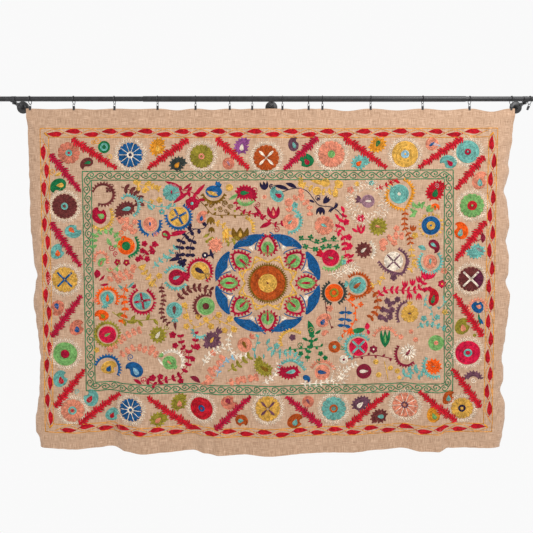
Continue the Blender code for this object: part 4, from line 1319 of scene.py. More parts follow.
# %% Branches
# colour, leaf length and width in mm, spacing in mm, leaves in pairs, photo places of the stem
BRANCHES = (
    ("brown", 29, 14.0, 24, True, (120.9, 186.8), (129, 189.7), (135, 193.2), (139, 198.5), (139.4, 203.2)),
    ("teal", 17, 8, 26, False, (143.5, 200.2), (154.3, 205.6), (164.3, 206.7), (176, 206.1)),
    ("leaf_green", 22, 12, 26, True, (94, 252), (93, 243), (96, 234), (104, 230.5), (113, 232), (118, 238),
     (117, 246)),
    ("crimson", 30, 13, 34, True, (174.2, 193.4), (183.5, 190.9), (189.4, 191.5), (195.2, 194.4),
     (200.5, 201.5)),
    ("bronze", 18, 9, 30, False, (200.5, 201.5), (205.2, 206.1), (211, 213.2), (217, 215.2), (228.7, 215),
     (243.4, 215.2), (249.2, 213.5)),
    ("navy", 24, 15, 30, True, (195.8, 228.5), (188.8, 232.6), (182.9, 238.4), (180, 245.5), (180, 253),
     (182.6, 262.8)), ("navy", 24, 15, 28, True, (194.3, 236), (190.5, 246), (190.2, 256.7)),
    ("navy", 24, 15, 40, False, (183.5, 225), (190, 228.5), (202.9, 228.5), (208, 223)),
    ("teal", 20, 9, 22, True, (167, 262), (170, 254), (176, 247)),
    ("teal", 20, 9, 22, True, (153, 268), (159, 262), (166, 256)),
    ("leaf_green", 22, 10, 26, False, (120, 262), (116, 268), (108, 272)),
    ("salmon", 20, 16.2, 24, True, (106, 284), (112, 277), (120, 274), (132, 270)),
    ("orange", 22, 12, 27, True, (126.6, 284.4), (123.2, 296.4), (124.4, 302.8), (125, 308.7), (124.4, 314.6),
     (121.5, 322.4)), ("yellow", 24, 11, 26, True, (157, 287), (152, 280), (146, 274), (142, 266)),
    ("brown", 17, 9, 20, True, (162.5, 282.9), (162, 291), (164.3, 298), (162.5, 306.3), (162, 313.4),
     (164.3, 319.2), (168.4, 323.4)),
    ("brown", 26, 12, 24, True, (176.8, 300.7), (183.5, 293.4), (189.4, 289.3), (196.4, 287.6),
     (202.9, 288.1), (210.5, 290.5)),
    ("olive", 34, 13, 34, False, (112, 312), (122, 319), (133, 321), (145, 320), (156, 319)),
    ("salmon", 22, 16.2, 26, True, (104, 350), (114, 346), (122, 339), (131, 333), (140, 330)),
    ("salmon", 22, 16.2, 26, True, (118, 357), (127, 351), (137, 347), (147, 350), (157, 354)),
    ("yellow", 17, 9, 32, False, (182, 303), (187, 312), (190, 322), (197, 327), (206, 322), (215, 319),
     (224, 323), (234, 327)),
    ("crimson", 22, 12, 30, True, (142.6, 380), (149.6, 380.8), (156.7, 384.3), (163.7, 379.6), (170, 379),
     (178.8, 375.5), (184.1, 370.8), (187.6, 364.9), (188.5, 359), (188.8, 350.9)),
    ("crimson", 20, 12, 28, True, (188.8, 351), (183.5, 347.9), (181.7, 343.2), (180.6, 334.6)),
    ("crimson", 20, 12, 28, True, (188.8, 351), (192.3, 349.1), (195.2, 342.6), (195.2, 331.7)),
    ("cream", 22, 9, 22, True, (203, 366), (207, 358), (214, 352), (223, 347)),
    ("cream", 18, 8, 22, True, (232, 331), (228, 341), (231, 351), (237, 356), (246, 355.6)),
    ("salmon", 22, 17.6, 26, True, (205, 382), (212, 374), (218, 366), (222, 358)),
    ("salmon", 22, 17.6, 28, True, (226, 383), (236, 381), (246, 379), (256, 377)),
    ("olive", 26, 12, 28, True, (228, 371), (236, 366), (243, 361), (250, 356)),
    ("teal", 20, 10, 26, False, (254, 356), (256, 346), (259, 335)),
    ("teal", 18, 10, 24, True, (267, 344), (272.5, 350.9), (284.9, 352), (293.1, 353.2), (298.4, 357.3),
     (300.7, 363)),
    ("green", 17, 10, 24, False, (285, 350), (296, 349), (304.8, 348.5), (313, 347), (322, 346.8)),
    ("green", 16, 13, 24, True, (307, 362), (308, 354), (310, 346), (311.9, 336)),
    ("brown", 14, 8, 40, False, (325.4, 300.6), (326.5, 311.6), (328.9, 319.3), (331.8, 329.1)),
    ("maroon", 16, 9, 32, False, (347.3, 359), (357.5, 357.3), (365.1, 355.6), (371, 355), (379.8, 355.6),
     (391.9, 358.5)), ("cream", 18, 9, 20, True, (338, 382), (343, 374), (348, 368), (356, 364)),
    ("teal", 26, 11, 26, True, (402, 380), (408, 373), (415, 369), (422, 372)),
    ("rust", 24, 12, 27, True, (366, 286), (371, 290), (375, 293.4), (377.4, 299.9), (377.4, 305.8),
     (375.7, 311.6), (370, 318)),
    ("orange", 16, 9, 24, False, (344.6, 297.7), (351, 302.8), (354.5, 305.8), (355.7, 314.6), (354.5, 320.4),
     (351.6, 326.3), (341.6, 335.5)), ("blue", 32, 13, 30, True, (345.7, 307), (345.4, 317.5), (344, 327.5)),
    ("ecru", 22, 4, 24, True, (336, 279), (341, 274), (347, 270), (355, 268)),
    ("cherry", 24, 11, 26, True, (376.4, 297.4), (382.1, 291.7), (386.8, 289.9), (397.4, 289.9),
     (409.1, 290.5), (417.3, 289.3), (422, 285.2), (426, 278)),
    ("mauve", 26, 16, 34, True, (386, 297), (391, 304), (388, 312), (383, 320)),
    ("teal", 16, 9, 26, False, (427.6, 294.8), (424.6, 299.9), (427.6, 306.3), (432.3, 311), (432.9, 320.2)),
    ("teal", 16, 9, 26, False, (443.4, 296.1), (444, 304), (438.7, 309.7)),
    ("teal", 18, 12, 24, True, (417, 328), (425, 324), (434, 325), (444, 328)),
    ("yellow", 20, 9, 24, True, (411.2, 245), (411.5, 252), (412.6, 258.8), (415.6, 263.5), (410.3, 269.8)),
    ("yellow", 18, 9, 24, True, (383.3, 272.5), (381.5, 279.9), (378, 282.9), (372, 285.2)),
    ("crimson", 18, 9, 28, True, (252, 213.5), (257.9, 213.5), (263.7, 217.3), (269, 221.4), (275.5, 224.3),
     (283.1, 223.2)),
    ("salmon", 18, 14.9, 24, True, (291, 201), (297, 197), (303, 199), (309, 205), (310, 214)),
    ("cherry", 22, 12, 28, True, (334, 230.8), (339.9, 233.1), (344, 238.4), (345.2, 247.2), (345.7, 253.1),
     (349.3, 261)), ("cherry", 18, 12, 26, True, (336, 231), (339.6, 222.6), (344, 215.7)),
    ("rust", 20, 9, 23, True, (405, 209), (405, 215), (404.4, 223.8), (405.6, 229.6), (409.1, 236.1),
     (410.3, 243)), ("yellow", 20, 11, 28, True, (298, 183), (308, 187), (317, 191), (327, 192), (337, 189)),
    ("scarlet", 16, 9, 22, True, (376, 189), (382, 186.8), (389, 184), (397, 181)),
    ("leaf_green", 22, 11, 24, True, (411, 217), (414, 210), (419, 204), (428, 208)),
    ("olive", 20, 10, 24, True, (240, 233.5), (236, 240), (228, 243)),
    ("salmon", 22, 17.6, 26, True, (379, 246), (387, 240), (394, 236), (402, 236)),
    ("yellow", 20, 10, 26, True, (133, 181), (142, 185), (151, 186), (160, 189)),
    ("salmon", 20, 17.6, 26, True, (116, 218), (123, 222), (130, 227), (135, 232)),
    ("crimson", 18, 12, 26, True, (136, 261), (143, 256), (150, 250), (157, 243)),
    ("cream", 20, 8, 22, True, (300, 383), (310, 384), (322, 383), (332, 380)),
    ("yellow", 20, 10, 26, True, (213, 222), (220, 224), (227, 228), (229, 236)),
    ("sky", 18, 9, 26, True, (217, 377), (220, 367), (226, 361), (234, 357)),
    ("cream", 18, 9, 24, True, (262, 383), (270, 379), (276, 372), (279, 364)),
    ("navy", 0, 0, 30, True, (282.5, 191.8), (291, 189), (298.6, 188.3), (304.7, 189.9), (309.3, 193.3),
     (313.9, 199.4), (318.5, 204.8), (324.6, 206.3), (331.5, 207.1), (336.9, 210.1), (343, 217)),
    ("crimson", 16, 9, 26, True, (237.5, 197), (236, 203), (239.8, 210), (249.8, 213.2), (262.8, 217)),
    ("green", 0, 0, 30, True, (299, 240), (308, 239.5), (317, 243), (327, 241), (339, 241)),
    ("green", 0, 0, 30, True, (302, 244), (310, 248), (320, 249.5), (330, 247), (339, 247)),
    ("ecru", 26, 4, 17, True, (328, 275), (340, 272), (352, 268)),
    ("maroon", 0, 0, 30, True, (473, 239), (478, 240.5), (482.9, 237.7)),
    ("yellow", 0, 0, 30, True, (384, 361), (386, 370), (388, 380)),
)
for colour, leaf_length, leaf_width, spacing, paired, *places in BRANCHES:
    lean = 80.0 if colour in ("navy", "blue") else 56.0
    branch(colour, path_on_cloth(*places), leaf_length, leaf_width, spacing, paired=paired, lean=lean)

# %% Single leaves
# colour, photo x and y of the foot and of the tip, width in mm
LEAVES = (
    ("crimson", 188.2, 193.2, 173.5, 203.2, 20), ("crimson", 195.2, 193.2, 205.0, 184, 16),
    ("crimson", 183, 190, 169, 182, 16), ("crimson", 168, 236, 187, 231.5, 13),
    ("yellow", 217.8, 192.5, 207.5, 195.2, 14), ("leaf_green", 107, 238, 112, 246, 18),
    ("navy", 182.0, 258.4, 170.5, 260.6, 16), ("navy", 206, 256, 215, 253.5, 10),
    ("olive", 203, 237.5, 210, 233, 12), ("olive", 206.5, 241, 213, 236.5, 11),
    ("yellow", 225.8, 228.5, 225.8, 238.5, 26), ("brown", 175.3, 318, 176, 330, 14),
    ("teal", 124.5, 291, 117.5, 285, 12), ("teal", 127.5, 288, 134, 282, 12),
    ("olive", 126.6, 322, 138.6, 320, 20), ("bronze", 247, 350, 240, 340, 14),
    ("green", 351, 331, 364.5, 329.5, 22), ("crimson", 272, 223, 260, 228, 20),
    ("crimson", 262, 216, 254, 206, 13), ("teal", 426, 250, 418, 246.5, 22),
    ("maroon", 482, 243, 482, 233, 22), ("blue", 478, 317, 483, 324, 16), ("blue", 172, 215, 183, 219, 8),
    ("teal", 300, 216, 292, 218, 16), ("cream", 158, 357, 165, 366, 10), ("teal", 102, 302, 109, 307, 12),
    ("sky", 430, 142, 441, 146, 12), ("yellow", 55, 176, 62, 172, 14),
    ("cherry", 366.6, 329.5, 366.6, 322.5, 22), ("cherry", 368.5, 334.5, 367, 329.5, 16),
    ("leaf_green", 409, 217, 416.5, 212, 16), ("maroon", 200, 383, 190, 377, 26),
    ("salmon", 200, 384, 215, 379, 26), ("teal", 141.5, 196.5, 142.5, 203, 16),
    ("teal", 147.5, 204, 153, 210, 16), ("teal", 165.5, 209, 172, 203, 14),
    ("crimson", 142.5, 383.5, 134, 379, 18), ("crimson", 96, 278, 96.4, 269.5, 30),
    ("crimson", 99, 281, 104.5, 275, 12), ("crimson", 100, 285, 108.5, 284, 12),
    ("scarlet", 400, 183, 392, 179.5, 12), ("yellow", 310, 180, 331, 184, 20),
    ("navy", 288.7, 189.6, 274.1, 185.7, 19), ("navy", 296.7, 188, 285.6, 183.4, 19),
    ("navy", 314.7, 202.5, 308.2, 200.2, 12), ("navy", 335.7, 206.8, 335.7, 202, 9),
    ("navy", 331.1, 207.5, 331.1, 213, 9), ("crimson", 180, 188, 165, 181.5, 16),
    ("crimson", 183, 190, 191, 183, 14), ("crimson", 195, 194, 204.6, 185, 14),
    ("crimson", 188.5, 192, 173.5, 203.5, 16), ("leaf_green", 229, 199.5, 238, 193.5, 16),
    ("crimson", 171, 233, 186.6, 231.3, 21), ("navy", 181, 258, 169.5, 261, 18),
    ("navy", 210, 249, 213.8, 259, 14), ("maroon", 474.5, 246.5, 483, 252, 14),
    ("green", 478, 313, 480, 325, 12), ("cherry", 344, 213, 341, 206, 16), ("cherry", 345, 231, 340, 226, 14),
    ("cherry", 352, 228, 358, 232, 14), ("cherry", 348, 258, 354, 254, 14),
    ("cherry", 339, 220, 335, 214, 14), ("leaf_green", 412.9, 208, 412.9, 201.5, 13),
    ("leaf_green", 419, 208, 419, 201.5, 13), ("leaf_green", 414.4, 211, 414.4, 217.5, 13),
    ("leaf_green", 427.5, 211.5, 434, 208.5, 12), ("teal", 255, 359, 255, 353.3, 9),
    ("teal", 263.5, 359, 263.5, 353.3, 9), ("teal", 271.5, 357, 271.5, 351.3, 9),
    ("teal", 279.5, 359, 279.5, 353.3, 9), ("teal", 286, 357.5, 286, 351.8, 9),
    ("teal", 266, 344, 269.5, 338, 14), ("green", 312, 338.5, 308.3, 320.6, 30),
    ("green", 315, 334, 321, 330, 14), ("green", 313, 341, 318, 338, 14), ("green", 308, 341, 302, 338, 14),
    ("green", 311, 341, 313, 348, 13), ("teal", 403.3, 375, 403.3, 368, 14),
    ("teal", 409.4, 372, 409.4, 365, 14), ("teal", 411, 373, 411, 379.5, 14),
    ("teal", 416.3, 373.5, 416.3, 366.5, 14), ("teal", 419.4, 374, 419.4, 380, 14),
    ("green", 350.9, 331, 364.7, 328.4, 24), ("navy", 333.5, 208.5, 337.8, 203.2, 15),
    ("navy", 334.3, 208.4, 328.4, 211.9, 13),
)
for colour, foot_x, foot_y, tip_x, tip_y, width in LEAVES:
    foot, tip = on_cloth(foot_x, foot_y), on_cloth(tip_x, tip_y)
    leaf(colour, foot, tip, width, bend=width * 0.15)

# %% [markdown]
# Small flowers, tulips, crowns and tendrils fill what is left, as on the real cloth, where the needlewoman
# left no bare place larger than a hand.

# %% Small flowers, tulips, crowns and tendrils
# colour, photo x, photo y, radius in mm, petals, middle's colour
FLOWERS = (
    ("brown", 108.5, 189.7, 14, 4, None), ("yellow", 136.1, 182.1, 13, 5, None),
    ("yellow", 138.5, 188.8, 11, 5, None), ("yellow", 149, 183.3, 12, 5, None),
    ("yellow", 156.4, 187.4, 12, 5, None), ("yellow", 159.6, 200, 14, 5, None),
    ("yellow", 151.4, 201.5, 11, 4, None), ("teal", 162, 211.7, 14, 5, "salmon"),
    ("crimson", 192, 203.5, 29, 6, "teal"), ("salmon", 119.7, 219, 14, 5, None),
    ("salmon", 126.7, 219.6, 13, 5, None), ("salmon", 135, 222, 13, 5, None),
    ("salmon", 124.4, 227.9, 15, 5, None), ("salmon", 132.6, 231.4, 14, 5, None),
    ("crimson", 144.6, 243.7, 14, 5, None), ("crimson", 154.9, 244.3, 14, 5, None),
    ("crimson", 142.6, 250.7, 13, 5, None), ("crimson", 152.6, 251.6, 14, 5, None),
    ("crimson", 147.3, 258.9, 14, 5, None), ("crimson", 137.9, 259.2, 13, 5, None),
    ("crimson", 117.3, 262.3, 15, 5, "yellow"), ("crimson", 126.4, 262.6, 15, 5, "yellow"),
    ("salmon", 110.3, 270.5, 14, 5, None), ("salmon", 118.2, 280.5, 15, 5, None),
    ("salmon", 123.8, 278.2, 12, 5, None), ("salmon", 130.3, 276.4, 15, 5, None),
    ("salmon", 133.8, 267, 14, 5, None), ("yellow", 142, 267.6, 13, 5, None),
    ("yellow", 159.6, 275.8, 14, 5, None), ("yellow", 151.4, 284, 13, 5, None),
    ("yellow", 184.7, 305.2, 14, 5, None), ("yellow", 185.8, 316.3, 14, 5, None),
    ("yellow", 186.4, 326.3, 14, 5, None), ("yellow", 198.2, 316.9, 13, 5, None),
    ("yellow", 205.8, 319.5, 13, 5, None), ("yellow", 218.7, 315.1, 15, 5, None),
    ("yellow", 211, 326.5, 15, 5, None), ("yellow", 229.9, 319, 15, 5, None),
    ("yellow", 224.6, 330.6, 14, 5, None), ("yellow", 234, 329.5, 15, 5, None),
    ("salmon", 109.7, 349.7, 16, 5, None), ("salmon", 152.6, 348, 16, 5, None),
    ("crimson", 153.1, 377.3, 16, 5, None), ("crimson", 172.9, 334.7, 16, 5, None),
    ("crimson", 175.3, 345.3, 14, 5, None), ("crimson", 197.3, 346.8, 15, 5, None),
    ("crimson", 160.8, 376.1, 14, 5, None), ("crimson", 192.6, 359.1, 13, 5, None),
    ("crimson", 180.6, 381, 14, 5, None), ("salmon", 213.1, 353.2, 15, 5, None),
    ("salmon", 219.9, 363.2, 15, 5, None), ("salmon", 210.5, 370.2, 15, 5, None),
    ("salmon", 241.6, 379, 14, 5, None), ("salmon", 252.2, 377.9, 13, 5, None),
    ("green", 300.7, 353.5, 12, 5, None), ("green", 320.7, 353.8, 12, 5, None),
    ("green", 325.4, 358.3, 12, 5, None), ("green", 318.9, 361.4, 12, 5, None),
    ("mauve", 292.5, 337.4, 15, 5, None), ("salmon", 330, 308.7, 15, 5, None),
    ("maroon", 373.3, 349.1, 18, 6, "cream"), ("salmon", 410.9, 331.5, 11, 5, None),
    ("salmon", 400.6, 336.8, 12, 5, None), ("salmon", 415.6, 339.7, 12, 5, None),
    ("orange", 352.2, 298.3, 14, 5, None), ("orange", 360.8, 304.4, 12, 4, None),
    ("crimson", 442.3, 284, 18, 6, "yellow"), ("crimson", 424.9, 290, 11, 5, None),
    ("crimson", 430.0, 288.7, 11, 5, None), ("mauve", 393.3, 277.2, 16, 5, None),
    ("teal", 424, 318.5, 14, 5, None), ("teal", 437.6, 317.3, 13, 5, None),
    ("teal", 294.8, 205.3, 15, 5, None), ("yellow", 300.7, 179.8, 12, 5, None),
    ("yellow", 337.7, 183, 15, 5, None), ("yellow", 335.3, 194.6, 13, 5, None),
    ("salmon", 382.7, 248, 15, 5, None), ("salmon", 396.6, 228.4, 14, 5, None),
    ("salmon", 394.1, 243, 15, 5, None), ("leaf_green", 431.1, 208.7, 14, 5, None),
    ("yellow", 415, 235.5, 15, 5, None), ("salmon", 301.1, 191.0, 13, 5, None),
    ("salmon", 444.5, 271, 15, 5, None), ("yellow", 445, 312, 13, 5, None),
    ("salmon", 350.5, 190, 16, 5, None), ("yellow", 357, 184, 12, 5, None), ("teal", 371.5, 183, 12, 5, None),
    ("salmon", 95.5, 300, 14, 5, None), ("yellow", 96.5, 350, 13, 5, None), ("teal", 343.5, 262, 13, 5, None),
    ("navy", 326.7, 199, 12, 3, None), ("navy", 182.4, 263.7, 16, 6, None),
    ("cherry", 360.6, 218.2, 18, 6, None), ("cherry", 346, 222, 15, 5, None),
    ("cherry", 348.7, 237.3, 15, 5, None), ("cherry", 349.5, 246.1, 15, 5, None),
    ("mauve", 386.9, 300.9, 14, 6, None), ("mauve", 397.2, 299.3, 14, 6, None),
    ("mauve", 382.3, 309.3, 14, 6, None), ("mauve", 391.5, 309.7, 14, 6, None),
    ("mauve", 380, 316.9, 14, 6, None), ("mauve", 389.6, 316.9, 14, 6, None),
    ("teal", 276.5, 345.8, 14, 5, None), ("green", 301.3, 238.1, 13, 4, None),
    ("green", 310.8, 237.3, 13, 4, None), ("green", 317, 241.5, 13, 4, None),
    ("green", 324.2, 239.6, 13, 4, None), ("green", 333.8, 238.4, 13, 4, None),
    ("green", 305.5, 246.5, 13, 4, None), ("green", 315.4, 249.2, 13, 4, None),
    ("green", 323.1, 247.2, 13, 4, None), ("green", 329.2, 246.1, 13, 4, None),
    ("green", 336.9, 246.9, 13, 4, None),
)
for colour, photo_x, photo_y, radius, petals, middle_colour in FLOWERS:
    flower(colour, *on_cloth(photo_x, photo_y), radius, petals, middle_colour, turn=photo_x * 7.0)

# colour, inner colour, photo x and y of the foot and of the tip, width in mm
TULIPS = (
    ("crimson", "salmon", 273.7, 219, 273.2, 206.5, 48), ("cherry", "", 425.5, 280, 425, 270, 30),
    ("cherry", "", 429, 279, 434, 271, 28), ("navy", "", 265, 190, 263.5, 181.5, 32),
    ("navy", "", 320.9, 207, 320.2, 215, 34), ("orange", "green", 434.8, 203.5, 435.4, 210.5, 34),
    ("mauve", "", 217, 334, 221, 328, 26), ("orange", "", 351.5, 328, 350, 336, 24),
    ("rust", "", 412.3, 231.5, 413.5, 225, 24), ("yellow", "amber", 225.8, 228.5, 225.8, 243.5, 24),
    ("bronze", "yellow", 240.2, 240.5, 240.2, 227.5, 66), ("bronze", "", 210.8, 216.8, 210.8, 225, 30),
    ("bronze", "", 211.5, 227, 211.5, 233, 24), ("cherry", "salmon", 361, 234, 361, 224, 30),
    ("cherry", "", 404.9, 288, 404.9, 280.5, 22), ("cherry", "", 412.5, 286, 412.5, 278.5, 22),
    ("cherry", "", 419, 283, 419, 275.5, 22), ("cherry", "", 409.5, 292.5, 409.5, 300, 22),
    ("cherry", "", 419, 293, 419, 300.5, 22), ("green", "leaf_green", 384.8, 347, 384.8, 329, 38),
    ("navy", "", 323.3, 203.5, 329.2, 196.8, 22),
)
for colour, inner, foot_x, foot_y, tip_x, tip_y, width in TULIPS:
    tulip(colour, on_cloth(foot_x, foot_y), on_cloth(tip_x, tip_y), width, inner or None)

# colour, photo x, photo y, direction, length and width in mm
CROWNS = (
    ("blue", 217.0, 186.0, 300, 24, 11), ("navy", 205.0, 274.5, 30, 24, 11),
    ("crimson", 184.0, 277.6, 0, 28, 14), ("teal", 104.5, 305.0, 100, 20, 10),
    ("teal", 175.0, 318.0, 90, 24, 12), ("pink", 250.0, 338.0, 320, 26, 12),
    ("teal", 348.5, 284.5, 190, 24, 12), ("scarlet", 322.0, 254.0, 205, 30, 15),
    ("mauve", 360.8, 199.9, 190, 28, 14), ("salmon", 430.5, 270.0, 90, 26, 13),
    ("salmon", 289.6, 212.0, 260, 26, 13), ("yellow", 409.7, 305.0, 270, 22, 11),
    ("mauve", 405.5, 261.0, 0, 22, 10), ("crimson", 135.2, 288.0, 230, 20, 10),
    ("leaf_green", 163.5, 356.0, 220, 22, 11), ("teal", 391.5, 188.5, 215, 24, 12),
    ("salmon", 155.0, 232.0, 60, 24, 12), ("mauve", 207.0, 344.5, 120, 22, 11),
)
for colour, photo_x, photo_y, turn, length, width in CROWNS:
    crown(colour, *on_cloth(photo_x, photo_y), turn, length, width)

# colour, photo x, photo y, radius in mm, where its outer end points
TENDRILS = (
    ("crimson", 111.5, 247.8, 15, 0), ("crimson", 115.6, 253.7, 13, 90), ("bronze", 210.5, 205.6, 14, 180),
    ("bronze", 225.2, 203, 15, 90), ("bronze", 231.4, 206.6, 13, 90), ("bronze", 220.5, 209.5, 12, 0),
    ("crimson", 254.5, 190.9, 17, 180), ("crimson", 144.9, 378.8, 16, 90), ("crimson", 183.2, 352.6, 14, 0),
    ("green", 300.7, 345.2, 15, 90), ("navy", 271.8, 186.2, 15, 0), ("navy", 318.3, 197.5, 14, 90),
    ("crimson", 276.4, 229.6, 15, 270), ("scarlet", 390.9, 180.7, 12, 90), ("orange", 121.5, 233, 14, 90),
    ("teal", 437, 186, 12, 200), ("yellow", 131, 243, 12, 180), ("teal", 340.5, 339, 13, 90),
    ("mauve", 219, 344, 12, 180), ("brown", 112, 186, 12, 90), ("blue", 131, 357, 16, 90),
    ("amber", 97, 140.5, 16, 0), ("amber", 53, 172, 15, 90), ("yellow", 110, 157, 13, 180),
    ("teal", 78, 391, 13, 90), ("crimson", 257.5, 205, 13, 270), ("green", 341.5, 347.5, 12, 0),
    ("salmon", 311.5, 330, 14, 180), ("olive", 166.5, 327, 13, 0), ("bronze", 211, 204.8, 11, 0),
    ("bronze", 225.3, 202.5, 11, 0), ("bronze", 229.9, 206.3, 11, 90), ("bronze", 220.3, 208.6, 10, 180),
    ("bronze", 226, 210.9, 10, 0), ("navy", 177, 253, 9, 0), ("amber", 93, 142, 11, 0),
    ("cream", 473, 380, 13, 0), ("navy", 318.5, 198.7, 8, 0), ("navy", 270.7, 186, 8, 90),
)
for colour, photo_x, photo_y, radius, turn in TENDRILS:
    spiral(colour, *on_cloth(photo_x, photo_y), radius, turn)

# %% [markdown]
# When all the sewing is planned, each colour's rows are laid on the hanging grid. A row is a closed body
# with three sides: a flat foot that touches the linen and two flanks that meet in a rounded ridge. Its UV
# map runs in metres along and across the row, so that the thread's twist can follow it.

# %% From rows to thread
def on_grid(grid, place):
    """The grid's values at places of the cut in millimetres, between its lines."""
    column = np.clip((place[:, 0] * MM - cut_left) / CLOTH_WIDTH * GRID_ACROSS, 0, GRID_ACROSS - 1e-6)
    row = np.clip(place[:, 1] * MM / CLOTH_LENGTH * GRID_DOWN, 0, GRID_DOWN - 1e-6)
    c, r = column.astype(int), row.astype(int)
    right, down = (column - c)[:, None], (row - r)[:, None]
    above = grid[r, c] * (1 - right) + grid[r, c + 1] * right
    below = grid[r + 1, c] * (1 - right) + grid[r + 1, c + 1] * right
    return above * (1 - down) + below * down


def thread_mesh(name, rows, finish):
    """One mesh of all the rows of a colour."""
    places, heights, faces, uvs = [], [], [], []
    first = 0
    for number, (middle, beside, half, layer, closed) in enumerate(rows):
        count = len(middle)
        foot = ROW_FOOT_M + layer * LAYER_M
        crest = foot + height_of(half)
        off = beside * half[:, None]
        places.append(np.stack((middle - off, middle, middle + off), 1).reshape(-1, 2))
        heights.append(np.stack((np.full(count, foot), crest, np.full(count, foot)), 1).ravel())
        here = first + 3 * np.arange(count if closed else count - 1)
        there = first + 3 * ((np.arange(len(here)) + 1) % count)
        for low, high in ((0, 1), (1, 2), (2, 0)):
            faces.append(np.stack((here + low, here + high, there + high, there + low), -1))
        gone = np.concatenate(((0.0,), np.cumsum(np.hypot(*np.diff(middle, axis=0).T)))) * MM
        after = np.append(gone[1:], gone[-1] + STITCH_STEP * MM) if closed else gone[1:]
        gone = gone[: len(here)]
        for low, high in ((0.0, 0.4), (0.4, 0.8), (0.8, 1.2)):
            side = number * 1.7
            uvs.append(np.stack((
                np.stack((gone, np.full_like(gone, side + low)), -1),
                np.stack((gone, np.full_like(gone, side + high)), -1),
                np.stack((after, np.full_like(gone, side + high)), -1),
                np.stack((after, np.full_like(gone, side + low)), -1),
            ), 1).reshape(-1, 2))
        if not closed:
            last = first + 3 * (count - 1)
            faces.append(np.array(((first + 2, first + 1, first, -1), (last, last + 1, last + 2, -1))))
            uvs.append(np.zeros((6, 2)))
        first += 3 * count
    places, heights = np.concatenate(places), np.concatenate(heights)
    front = SHEET_THICKNESS / 2
    points = on_grid(hung, places) + on_grid(hung_normal, places) * (front + heights)[:, None]
    polygons = [[corner for corner in face if corner >= 0] for face in np.concatenate(faces).tolist()]
    mesh = bpy.data.meshes.new(name)
    mesh.from_pydata(points, [], polygons)
    layer = mesh.uv_layers.new(name="stitch")
    layer.data.foreach_set("uv", np.concatenate(uvs).astype(np.float32).ravel())
    mesh.shade_smooth()
    mesh.materials.append(finish)
    made = bpy.data.objects.new(name, mesh)
    bpy.context.scene.collection.objects.link(made)
    return made


# %% [markdown]
# The thread is soft cotton of six loose strands, dyed by hand in small lots, so one colour varies from skein
# to skein. A stitch is a cell of the row's UV map: a white noise gives every cell its own tone, which is
# painted light and shade for the way each stitch takes the light, and a soft noise adds the dye's clouds,
# which are real. The real grooves between strands are 0.4 mm apart. They are drawn 2 mm apart to show.

# %% Cotton thread
GROOVE_MM = 2.0
DYE_SPOT_MM = 28.0
STITCH_MM = 9.0
ROW_IN_UV = 1.7
# How far the painted light and shade of each stitch moves its tone
STITCH_SHADE_SHARE = 0.45
CLOUD_SHARE = 0.55
DARKEST = 0.62
PALEST = 1.30


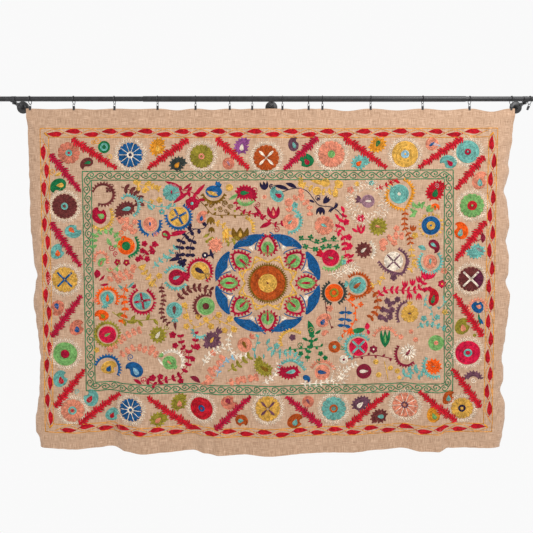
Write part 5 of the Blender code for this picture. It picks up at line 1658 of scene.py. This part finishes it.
def cotton(name, hex_code):
    """Cotton thread in one dye."""
    made, tree, shader = new_material(name, 0.75)
    place = add_node(tree, "ShaderNodeTexCoord", {}, {}).outputs["Object"]
    cloud_scale = 1.0 / (DYE_SPOT_MM * MM)
    clouds = add_node(tree, "ShaderNodeTexNoise", {"Scale": cloud_scale, "Detail": 3.0}, {"Vector": place})
    along = add_node(tree, "ShaderNodeUVMap", {"uv_map": "stitch"}, {}).outputs["UV"]
    cell_scale = (1.0 / (STITCH_MM * MM), 1.0 / ROW_IN_UV, 1.0)
    cells = add_node(tree, "ShaderNodeMapping", {"Scale": cell_scale}, {"Vector": along})
    cell = add_node(tree, "ShaderNodeVectorMath", {"operation": "FLOOR"}, {0: cells.outputs[0]})
    # Painted light and shade: one random tone per stitch cell, for the light each stitch catches
    stitch_shade_noise = add_node(
        tree, "ShaderNodeTexWhiteNoise", {"noise_dimensions": "2D"}, {"Vector": cell.outputs[0]}
    )
    share = add_node(
        tree, "ShaderNodeMath", {"operation": "MULTIPLY", 1: STITCH_SHADE_SHARE}, {0: stitch_shade_noise.outputs["Value"]}
    )
    both = add_node(
        tree,
        "ShaderNodeMath",
        {"operation": "MULTIPLY_ADD", 1: CLOUD_SHARE},
        {0: clouds.outputs["Fac"], 2: share.outputs[0]},
    )
    dye = linear(hex_code)
    tone = add_node(tree, "ShaderNodeValToRGB", {}, {"Fac": both.outputs[0]})
    tone.color_ramp.elements[0].color = tuple(c * DARKEST for c in dye[:3]) + (1.0,)
    tone.color_ramp.elements[0].position = 0.25
    tone.color_ramp.elements[1].color = tuple(min(1.0, c * PALEST + 0.004) for c in dye[:3]) + (1.0,)
    tone.color_ramp.elements[1].position = 0.75
    tree.links.new(tone.outputs["Color"], shader.inputs["Base Color"])
    slanted = add_node(tree, "ShaderNodeMapping", {"Scale": (1.0, 0.0025, 1.0)}, {"Vector": along})
    groove_scale = 1.0 / (GROOVE_MM * MM) / math.tau * 2
    grooves = add_node(
        tree,
        "ShaderNodeTexWave",
        {"Scale": groove_scale, "Distortion": 1.2, "Detail": 1.0, "bands_direction": "DIAGONAL"},
        {"Vector": slanted.outputs[0]},
    )
    bump = add_node(
        tree, "ShaderNodeBump", {"Strength": 0.5, "Distance": 0.0003}, {"Height": grooves.outputs["Fac"]}
    )
    tree.links.new(bump.outputs["Normal"], shader.inputs["Normal"])
    shader.inputs["Specular IOR Level"].default_value = 0.18
    return made


DYES = {
    "crimson": "A80030", "cherry": "C8083C", "scarlet": "B80A20", "maroon": "821630", "teal": "6AA89E",
    "blue": "0E5488", "sky": "86AEC0", "green": "12703F", "leaf_green": "76A860",
    "scroll_green": "35754E", "olive": "918428", "bronze": "765408", "yellow": "D4A448",
    "amber": "D48C22", "orange": "EA5808", "rust": "AE4A10", "salmon": "D9886C", "pink": "C8745C",
    "ecru": "DCCBB6", "violet": "8E4A86", "mauve": "684050", "lilac": "96707C", "brown": "6A2C2A",
    "plum": "5C1838", "navy": "1C1236", "cream": "E4D5C2", "charcoal": "343A36",
}
threads = []
for colour in sorted(skeins):
    dyed = cotton(f"{colour}_cotton_thread", DYES[colour])
    threads.append(thread_mesh(f"thread_{colour}", skeins[colour], dyed))
    print(threads[-1].name, len(skeins[colour]), "rows,", len(threads[-1].data.polygons), "faces")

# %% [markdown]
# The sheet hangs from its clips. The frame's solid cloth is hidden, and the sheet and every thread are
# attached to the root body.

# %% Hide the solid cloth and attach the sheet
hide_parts("cloth")
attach(linen_sheet, "root")
for piece in threads:
    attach(piece, "root")
